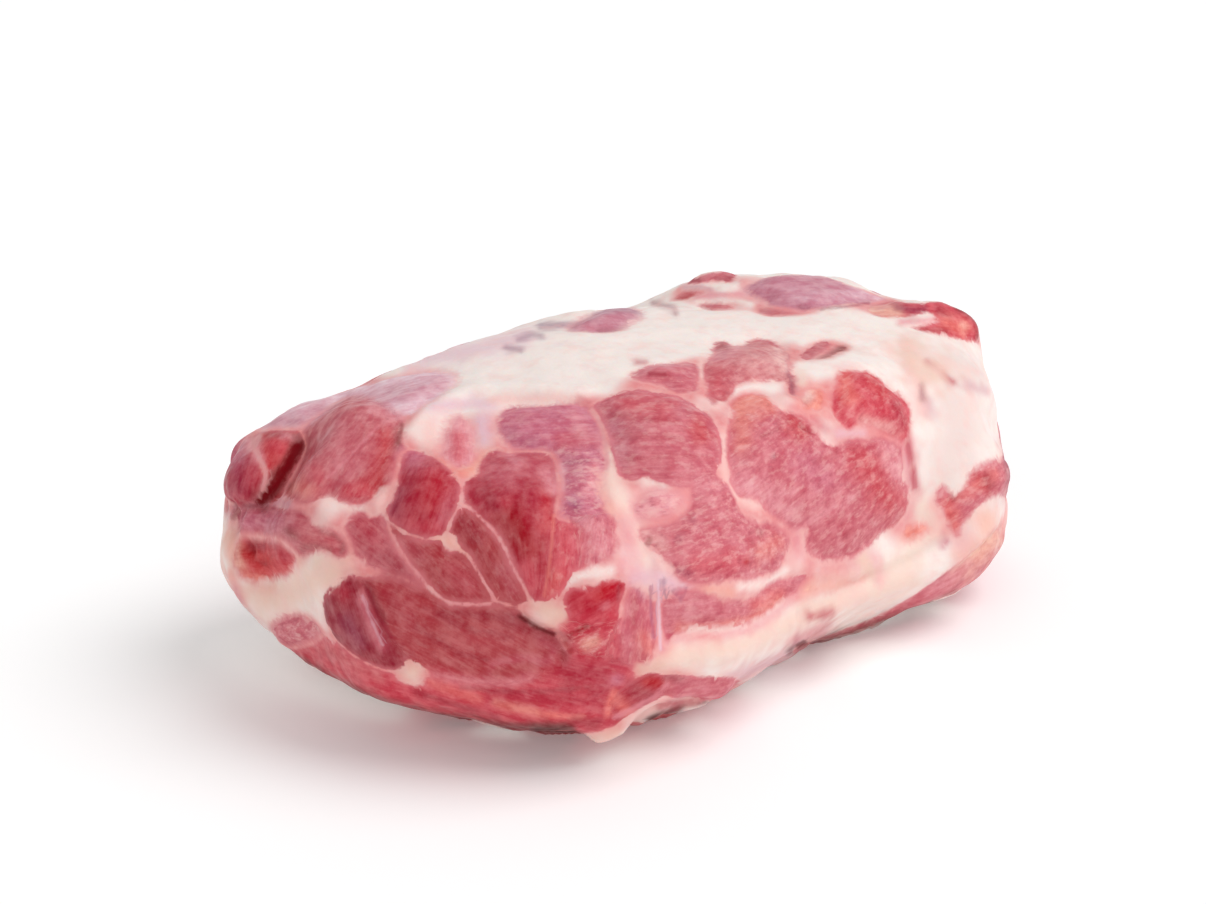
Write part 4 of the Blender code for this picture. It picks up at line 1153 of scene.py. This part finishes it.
def map_marks(surface, out, charts):
    """How deep each vertex is in a mark, the mark's half width, the way to its middle, and its tone with
    its strength as alpha."""
    count = len(surface.points)
    found = {
        "mark": np.full(count, -float(FAR_OUT)),
        "mark_width": np.zeros(count),
        "mark_way": np.full((count, 3), float(FAR_OUT)),
        "mark_tone": np.zeros((count, 4)),
    }
    for chart in charts:
        flat = chart.place(surface.points)
        flat[:, 2] = 0
        faces = chart.facing(surface.points, out) > 0
        for path, width, colour, strength in chart.all("marks"):
            samples = np.pad(smooth_curve(path, False), ((0, 0), (0, 1)))
            way = ways(flat, samples, width + MARK_REACH)
            depth = width - np.linalg.norm(way, axis=1)
            deeper = faces & (depth > found["mark"]) & (depth > -MARK_REACH)
            found["mark"][deeper] = depth[deeper]
            found["mark_width"][deeper] = width
            found["mark_way"][deeper] = way[deeper]
            found["mark_tone"][deeper] = (*linear_tone(colour), strength)
    return found


def relief(surface, tree, lean, charts, settings):
    """How far each vertex moves out, and how dark the painted shade in the folds is."""
    swell = settings.muscle_swell / MM * (1 - np.exp(-((np.maximum(lean, 0) / SWELL_REACH) ** 2)))
    pad = settings.fat_swell / MM * (1 - np.exp(np.minimum(lean, 0) / PAD_REACH))
    rise = np.where(lean > 0, swell, pad)
    rise += sum(height * bumps(surface.points, size, seed) for size, height, seed in UNEVENNESS)
    blood = np.zeros(len(rise))

    def share_beside(path, width):
        laid = chart.lay(tree, smooth_curve(path, False))
        gap = nearest(surface.points, laid, FOLD_REACH * width)
        return np.exp(-((gap / width) ** 2)) * (gap < FOLD_REACH * width)

    for chart in charts:
        # Each fold is pressed in, and shade is painted into it
        for path, width, depth, darkness in chart.all("folds"):
            share = share_beside(path, width)
            rise -= depth * share
            blood = np.maximum(blood, darkness * share)
        for path, width, height in chart.all("rolls"):
            rise += height * share_beside(path, width)
    return rise, blood


def grab(surface, out, charts):
    """The points drawn out or pressed in where a chart says."""
    points = surface.points.copy()
    for chart in charts:
        places = chart.place(surface.points)[:, :2]
        hidden = chart.facing(surface.points, out) < 0
        for place, reach, (across, up, nearer) in chart.all("grabs"):
            miss = np.linalg.norm(places - place, axis=1) + FAR_OUT * hidden
            centre = surface.points[miss.argmin()]
            share = np.exp(-(((surface.points - centre) ** 2).sum(axis=1) / reach**2))
            points += share[:, None] * (chart.right * across + chart.up * up + chart.back * nearer)
    return points


def keep(mesh, name, values):
    """Stores values, ways or colours on the mesh's vertices under a name."""
    columns = 1 if values.ndim == 1 else values.shape[1]
    kind, field = {
        1: ("FLOAT", "value"),
        3: ("FLOAT_VECTOR", "vector"),
        4: ("FLOAT_COLOR", "color"),
    }[columns]
    layer = mesh.attributes.new(name, kind, "POINT")
    layer.data.foreach_set(field, np.ascontiguousarray(values, np.float32).ravel())


def opaque(tone):
    """The tones with an alpha of 1."""
    return np.pad(tone, ((0, 0), (0, 1)), constant_values=1)


def add_node(nodes, kind, settings=None, inputs=None):
    """A node with its properties set, and its inputs set or linked."""
    tree = nodes.id_data
    made = nodes.new(kind)
    for name, value in (settings or {}).items():
        setattr(made, name, value)
    for name, value in (inputs or {}).items():
        if isinstance(value, bpy.types.NodeSocket):
            tree.links.new(value, made.inputs[name])
        else:
            made.inputs[name].default_value = value
    return made


def raw_meat(colours):
    """Raw pork, cut and trimmed with a knife: moist lean with the grain of its fibres, marbled with
    fat, and waxy fat that lets light in. The eye sees soft edges, deep colour and small wet glints."""
    material = bpy.data.materials.new("raw_pork_meat")
    material.use_nodes = True
    nodes = material.node_tree.nodes
    shader = nodes["Principled BSDF"]

    def attribute(name):
        return add_node(nodes, "ShaderNodeAttribute", {"attribute_name": name})

    def math_node(operation, first, second, third=0.0):
        inputs = {0: first, 1: second, 2: third}
        return add_node(nodes, "ShaderNodeMath", {"operation": operation}, inputs).outputs[0]

    def step(value, low, high, start=0.0, end=1.0):
        return add_node(
            nodes,
            "ShaderNodeMapRange",
            {"interpolation_type": "SMOOTHSTEP"},
            {"Value": value, "From Min": low, "From Max": high, "To Min": start, "To Max": end},
        ).outputs[0]

    def cloud(vector, size, detail=2.0, roughness=0.5):
        """Noise with bumps of a size in the units of its vector."""
        return add_node(
            nodes,
            "ShaderNodeTexNoise",
            {},
            {"Vector": vector, "Scale": 1 / size, "Detail": detail, "Roughness": roughness},
        ).outputs["Fac"]

    def mixed(share, first, second):
        return add_node(
            nodes,
            "ShaderNodeMix",
            {"data_type": "RGBA"},
            {"Factor": share, 6: first, 7: second},
        ).outputs[2]

    def tinted(colour, tint):
        return add_node(
            nodes,
            "ShaderNodeMix",
            {"data_type": "RGBA", "blend_type": "MULTIPLY", "clamp_result": False},
            {"Factor": 1.0, 6: colour, 7: tint},
        ).outputs[2]

    place = add_node(nodes, "ShaderNodeTexCoord").outputs["Object"]
    lean = attribute("lean").outputs["Fac"]
    tone = attribute("tone").outputs["Color"]
    grain = attribute("grain").outputs["Vector"]
    marbling = attribute("marbling").outputs["Fac"]
    haze = attribute("haze").outputs["Fac"]
    blood = attribute("blood").outputs["Fac"]
    half_seam = attribute("half_seam").outputs["Fac"]
    mark = attribute("mark").outputs["Fac"]
    mark_tone = attribute("mark_tone")
    pink_fat = (*colours.marbling, 1)
    fibre_vector = add_node(
        nodes, "ShaderNodeVectorMath", {"operation": "MULTIPLY"}, {0: grain, 1: FIBRE_STRETCH}
    ).outputs[0]
    fleck_vector = add_node(
        nodes, "ShaderNodeVectorMath", {"operation": "MULTIPLY"}, {0: grain, 1: FLECK_STRETCH}
    ).outputs[0]

    def length(name):
        way = attribute(name).outputs["Vector"]
        return add_node(nodes, "ShaderNodeVectorMath", {"operation": "LENGTH"}, {0: way}).outputs["Value"]

    # Seams stay sharp between the mesh's points, as the way to their middle does
    blurred = math_node("SUBTRACT", lean, MESH_SLACK)
    uneven = math_node("MULTIPLY", half_seam, step(cloud(place, SEAM_SIZE * MM), 0.3, 0.7, 0.0, 1.5))
    sharp = math_node("SUBTRACT", length("aside"), uneven)
    depth = math_node("MINIMUM", lean, math_node("MAXIMUM", sharp, blurred))

    # The border between lean and fat wanders, less beside a thin seam, and is wider where the muscle
    # lies under a film
    wander = math_node("MULTIPLY", math_node("SUBTRACT", cloud(place, WANDER_SIZE * MM), 0.5), WANDER)
    fray = math_node("MULTIPLY", math_node("SUBTRACT", cloud(place, FRAY_SIZE * MM, 3.0), 0.5), FRAY)
    looseness = step(half_seam, 0.5, 2.0, 0.35, 1.0)
    edge = math_node("MULTIPLY_ADD", math_node("ADD", wander, fray), looseness, depth)
    soft = math_node("MULTIPLY", looseness, 0.8)
    start = math_node("SUBTRACT", math_node("MULTIPLY", haze, -1.8), soft)
    is_lean = step(edge, start, math_node("MULTIPLY_ADD", haze, 3.4, soft))

    # Lean: fibres darker and lighter along the grain, soft clouds, streaks of fat, paler towards the seams
    fibres = cloud(fibre_vector, FIBRE_SIZE)
    bundles = cloud(fibre_vector, BUNDLE_SIZE)
    weave = math_node("ADD", math_node("MULTIPLY", fibres, 0.45), math_node("MULTIPLY", bundles, 0.55))
    mottle = cloud(place, MOTTLE_SIZE * MM, 4.0, 0.6)
    uneven_lean = math_node("ADD", math_node("MULTIPLY", weave, 0.45), math_node("MULTIPLY", mottle, 0.55))
    calm = step(edge, 0.4, 1.6)
    shade = math_node("MULTIPLY_ADD", math_node("SUBTRACT", uneven_lean, 0.5), calm, 0.5)
    dark = tinted(tone, DARK_TINT)
    light = mixed(LIGHT_FAT, tinted(tone, LIGHT_TINT), pink_fat)
    flesh = mixed(step(shade, 0.36, 0.64), dark, light)
    flecks = cloud(fleck_vector, FLECK_SIZE, 3.0, 0.6)
    veins = step(math_node("MULTIPLY_ADD", marbling, 0.1, flecks), 0.5, 0.72)
    veins = math_node("MULTIPLY", veins, calm)
    flesh = mixed(math_node("MULTIPLY", veins, math_node("MULTIPLY", marbling, 0.7)), flesh, pink_fat)
    pores = math_node("MULTIPLY", step(flecks, 0.44, 0.3), math_node("MULTIPLY_ADD", marbling, 0.8, 0.2))
    pores = math_node("MULTIPLY", pores, calm)
    flesh = tinted(flesh, mixed(pores, WHITE, PORE_TINT))
    rim = step(edge, 0.0, 2.2, step(cloud(place, RIM_SIZE * MM), 0.35, 0.65, 0.12, 0.5), 0.0)
    flesh = mixed(rim, flesh, (*colours.halo, 1))

    # Fat: its tone, with clouds where it is thinner and the lean shows through
    near_lean = math_node("MULTIPLY", step(edge, -2.5, 0.0, 0.0, 0.35), looseness)
    clouds = step(cloud(place, FAT_CLOUD_SIZE * MM, 3.0), 0.45, 0.75, 0.0, 0.4)
    thin = math_node("ADD", near_lean, clouds)
    fat = mixed(thin, attribute("fat_tone").outputs["Color"], pink_fat)

    colour = mixed(is_lean, fat, flesh)
    mark_width = attribute("mark_width").outputs["Fac"]
    sharp_mark = math_node("SUBTRACT", mark_width, length("mark_way"))
    blurred_mark = math_node("ADD", mark, MESH_SLACK)
    mark_depth = math_node("MAXIMUM", mark, math_node("MINIMUM", sharp_mark, blurred_mark))
    rough = math_node("MULTIPLY", math_node("SUBTRACT", flecks, 0.5), math_node("MULTIPLY", mark_width, 2.5))
    softness = math_node("MULTIPLY_ADD", mark_width, 0.6, 0.2)
    inside_mark = step(math_node("ADD", mark_depth, rough), math_node("MULTIPLY", softness, -1.0), softness)
    mark_share = math_node("MULTIPLY", inside_mark, mark_tone.outputs["Alpha"])
    colour = mixed(mark_share, colour, mark_tone.outputs["Color"])
    # Painted shade darkens the colour in the folds and creases
    colour = tinted(colour, mixed(blood, WHITE, (*colours.fold_shade, 1)))
    nodes.id_data.links.new(colour, shader.inputs["Base Color"])

    # Moist surface: small unevenness that breaks up the glints
    ripple = cloud(place, RIPPLE_SIZE * MM, 3.0)
    fine = add_node(
        nodes, "ShaderNodeMix", {"data_type": "FLOAT"}, {"Factor": calm, 2: ripple, 3: weave}
    ).outputs[0]
    bump = add_node(
        nodes,
        "ShaderNodeBump",
        {},
        {"Strength": RIPPLE_STRENGTH, "Distance": RIPPLE_HEIGHT * MM, "Height": fine},
    ).outputs[0]
    nodes.id_data.links.new(bump, shader.inputs["Normal"])
    shine = step(cloud(place, SHINE_SIZE * MM), 0.35, 0.65, 0.3, 0.5)
    dry = math_node("MULTIPLY_ADD", mark_share, DRY_MARK, shine)
    nodes.id_data.links.new(dry, shader.inputs["Roughness"])
    shader.inputs["IOR"].default_value = FLESH_IOR
    shader.inputs["Specular IOR Level"].default_value = FLESH_SHINE
    shader.inputs["Subsurface Weight"].default_value = FLESH_GLOW
    shader.inputs["Subsurface Radius"].default_value = GLOW_REACH
    shader.inputs["Subsurface Scale"].default_value = GLOW_SCALE * MM
    return material


class CollarSettings(bpy.types.PropertyGroup):
    """Sizes of the meat's surface."""

    cell: FloatProperty(
        name="Cell",
        description="Size of the surface's cells",
        default=1.3 * MM,
        unit="LENGTH",
    )
    muscle_swell: FloatProperty(
        name="Muscle swell",
        description="How far the middle of a muscle stands above its seams",
        default=1.5 * MM,
        unit="LENGTH",
    )
    fat_swell: FloatProperty(
        name="Fat swell",
        description="How far thick fat stands above the border with lean",
        default=0.9 * MM,
        unit="LENGTH",
    )


class MeatColours(bpy.types.PropertyGroup):
    """Colours of the fat, of the painted shade in the folds and of the rims where lean thins out."""

    marbling: FloatVectorProperty(
        name="Marbling",
        description="Colour of the streaks of fat in the lean, and of fat with lean close below it",
        default=linear_from_hex(TONES["pink_fat"])[:3],
        subtype="COLOR",
    )
    halo: FloatVectorProperty(
        name="Rims",
        description="Colour of the lean where it thins out beside a seam",
        default=linear_from_hex(TONES["halo"])[:3],
        subtype="COLOR",
    )
    # Painted shade in the folds: the share of each colour that is left in the deepest of them
    fold_shade: FloatVectorProperty(
        name="Blood in folds",
        description="Share of each colour that is left in the deepest folds",
        default=(0.35, 0.08, 0.1),
        subtype="COLOR",
    )


class StudioSettings(bpy.types.PropertyGroup):
    """The camera, the floor and the lights."""

    lens: FloatProperty(name="Lens", description="Focal length", default=85, unit="CAMERA")
    floor_colour: FloatVectorProperty(
        name="Floor",
        description="Colour of the floor",
        default=linear_from_hex("#F8F8F8")[:3],
        subtype="COLOR",
    )
    floor_glow: FloatProperty(
        name="Floor glow",
        description="Light that comes through the floor, as from a light table",
        default=0.12,
    )
    key_strength: FloatProperty(
        name="Key light",
        description="Strength of the large soft light above",
        default=1.6,
    )
    fill_strength: FloatProperty(
        name="Fill light",
        description="Strength of the soft light from the shoulder end",
        default=0.4,
    )
    sky_strength: FloatProperty(
        name="Room light",
        description="Strength of the light from all round",
        default=0.5,
    )


class COLLAR_OT_dress_meat(bpy.types.Operator):
    """Makes the collar's surface, with its muscles, fat and folds"""

    bl_idname = "collar.dress_meat"
    bl_label = "Dress the meat"

    def execute(self, context):
        settings = context.scene.collar
        mesh = fine_mesh(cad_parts["pork_collar"], settings.cell)
        surface = Surface(mesh)
        surface.points = surface.eased(surface.points, FACET_EASING)
        charts = [Chart(**chart) for chart in CHARTS]
        surface.points = grab(surface, surface.out(), charts)
        broad_out = surface.smooth_out(BROAD_EASING)
        tree = surface.tree()
        lean = map_muscles(surface, tree, broad_out, charts)["lean"]
        lean = surface.eased(lean[:, None], RELIEF_EASING)[:, 0]
        rise, blood = relief(surface, tree, lean, charts, settings)
        surface.points += rise[:, None] * surface.smooth_out(FINE_EASING)
        surface.points[:, 2] = np.maximum(surface.points[:, 2], 0)
        surface.points[surface.points[:, 2] < SOLE, 2] = 0

        # The charts are drawn once more on the finished surface, so that the relief shifts nothing
        out = surface.smooth_out(FINE_EASING)
        ragged = 1 + RAGGED_SHARE * bumps(surface.points, RAGGED_SIZE, RAGGED_SEED)
        maps = map_muscles(surface, surface.tree(), broad_out, charts)
        maps["blood"] = blood
        maps["tone"] = opaque(wash(surface, out, charts, ragged, maps["tone"], "stains"))
        maps["fat_tone"] = opaque(wash(surface, out, charts, ragged, maps["fat_tone"], "washes"))
        maps.update(map_marks(surface, out, charts))
        for name, values in maps.items():
            keep(mesh, name, values)
        mesh.shade_smooth()
        mesh.materials.clear()
        mesh.materials.append(raw_meat(context.scene.meat_colours))
        meat = bpy.data.objects.new("collar_meat", mesh)
        context.scene.collection.objects.link(meat)
        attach(meat, "root")
        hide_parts("pork_collar")
        return {"FINISHED"}


class COLLAR_OT_set_stage(bpy.types.Operator):
    """Sets the camera, the pale floor and the soft studio light"""

    bl_idname = "collar.set_stage"
    bl_label = "Set the stage"

    def execute(self, context):
        studio = context.scene.studio
        scene = context.scene
        chart = Chart(BONED_SIDE_AZIMUTH, BONED_SIDE_ELEVATION)
        camera = bpy.data.objects.new("camera", bpy.data.cameras.new("camera"))
        scene.collection.objects.link(camera)
        camera.location = chart.eye * MM
        camera.rotation_euler = Vector(chart.back).to_track_quat("Z", "Y").to_euler()
        camera.data.lens = studio.lens
        camera.data.shift_x = SHIFT_ACROSS / IMAGE_WIDTH
        camera.data.shift_y = SHIFT_UP / IMAGE_WIDTH
        camera.data.clip_end = CAMERA_REACH
        scene.camera = camera

        floor_mesh = bpy.data.meshes.new("floor")
        whole = bmesh.new()
        bmesh.ops.create_grid(whole, x_segments=1, y_segments=1, size=FLOOR_HALF_WIDTH)
        whole.to_mesh(floor_mesh)
        whole.free()
        floor = bpy.data.objects.new("floor", floor_mesh)
        # Matt white paint: an even, pale ground without glints
        material = bpy.data.materials.new("matt_paint")
        material.use_nodes = True
        shader = material.node_tree.nodes["Principled BSDF"]
        shader.inputs["Base Color"].default_value = (*studio.floor_colour, 1)
        shader.inputs["Roughness"].default_value = FLOOR_ROUGHNESS
        shader.inputs["Emission Color"].default_value = WHITE
        shader.inputs["Emission Strength"].default_value = studio.floor_glow
        floor_mesh.materials.append(material)
        scene.collection.objects.link(floor)
        floor.location.z = -FLOOR_DROP

        world = bpy.data.worlds.new("studio")
        world.use_nodes = True
        world.node_tree.nodes["Background"].inputs["Color"].default_value = WHITE
        world.node_tree.nodes["Background"].inputs["Strength"].default_value = studio.sky_strength
        scene.world = world
        strengths = (studio.key_strength, studio.fill_strength)
        for (name, place, spread), strength in zip(LIGHTS, strengths):
            light = bpy.data.objects.new(name, bpy.data.lights.new(name, "SUN"))
            light.data.angle = math.radians(spread)
            light.data.energy = strength
            light.location = place
            light.rotation_euler = Vector(place).to_track_quat("Z", "Y").to_euler()
            scene.collection.objects.link(light)
        scene.view_settings.view_transform = "Standard"
        return {"FINISHED"}


class COLLAR_PT_panel(bpy.types.Panel):
    """The collar's tools in the sidebar"""

    bl_label = "Pork collar"
    bl_idname = "COLLAR_PT_panel"
    bl_space_type = "VIEW_3D"
    bl_region_type = "UI"
    bl_category = "Pork collar"

    def draw(self, context):
        layout = self.layout
        for group in (context.scene.collar, context.scene.meat_colours, context.scene.studio):
            for name in group.__annotations__:
                layout.prop(group, name)
        layout.operator(COLLAR_OT_dress_meat.bl_idname)
        layout.operator(COLLAR_OT_set_stage.bl_idname)


CLASSES = (
    CollarSettings,
    MeatColours,
    StudioSettings,
    COLLAR_OT_dress_meat,
    COLLAR_OT_set_stage,
    COLLAR_PT_panel,
)


def register():
    for made in CLASSES:
        bpy.utils.register_class(made)
    bpy.types.Scene.collar = bpy.props.PointerProperty(type=CollarSettings)
    bpy.types.Scene.meat_colours = bpy.props.PointerProperty(type=MeatColours)
    bpy.types.Scene.studio = bpy.props.PointerProperty(type=StudioSettings)


def unregister():
    del bpy.types.Scene.studio
    del bpy.types.Scene.meat_colours
    del bpy.types.Scene.collar
    for made in reversed(CLASSES):
        bpy.utils.unregister_class(made)


def main():
    register()
    bpy.ops.collar.dress_meat()
    bpy.ops.collar.set_stage()


if __name__ == "__main__":
    main()
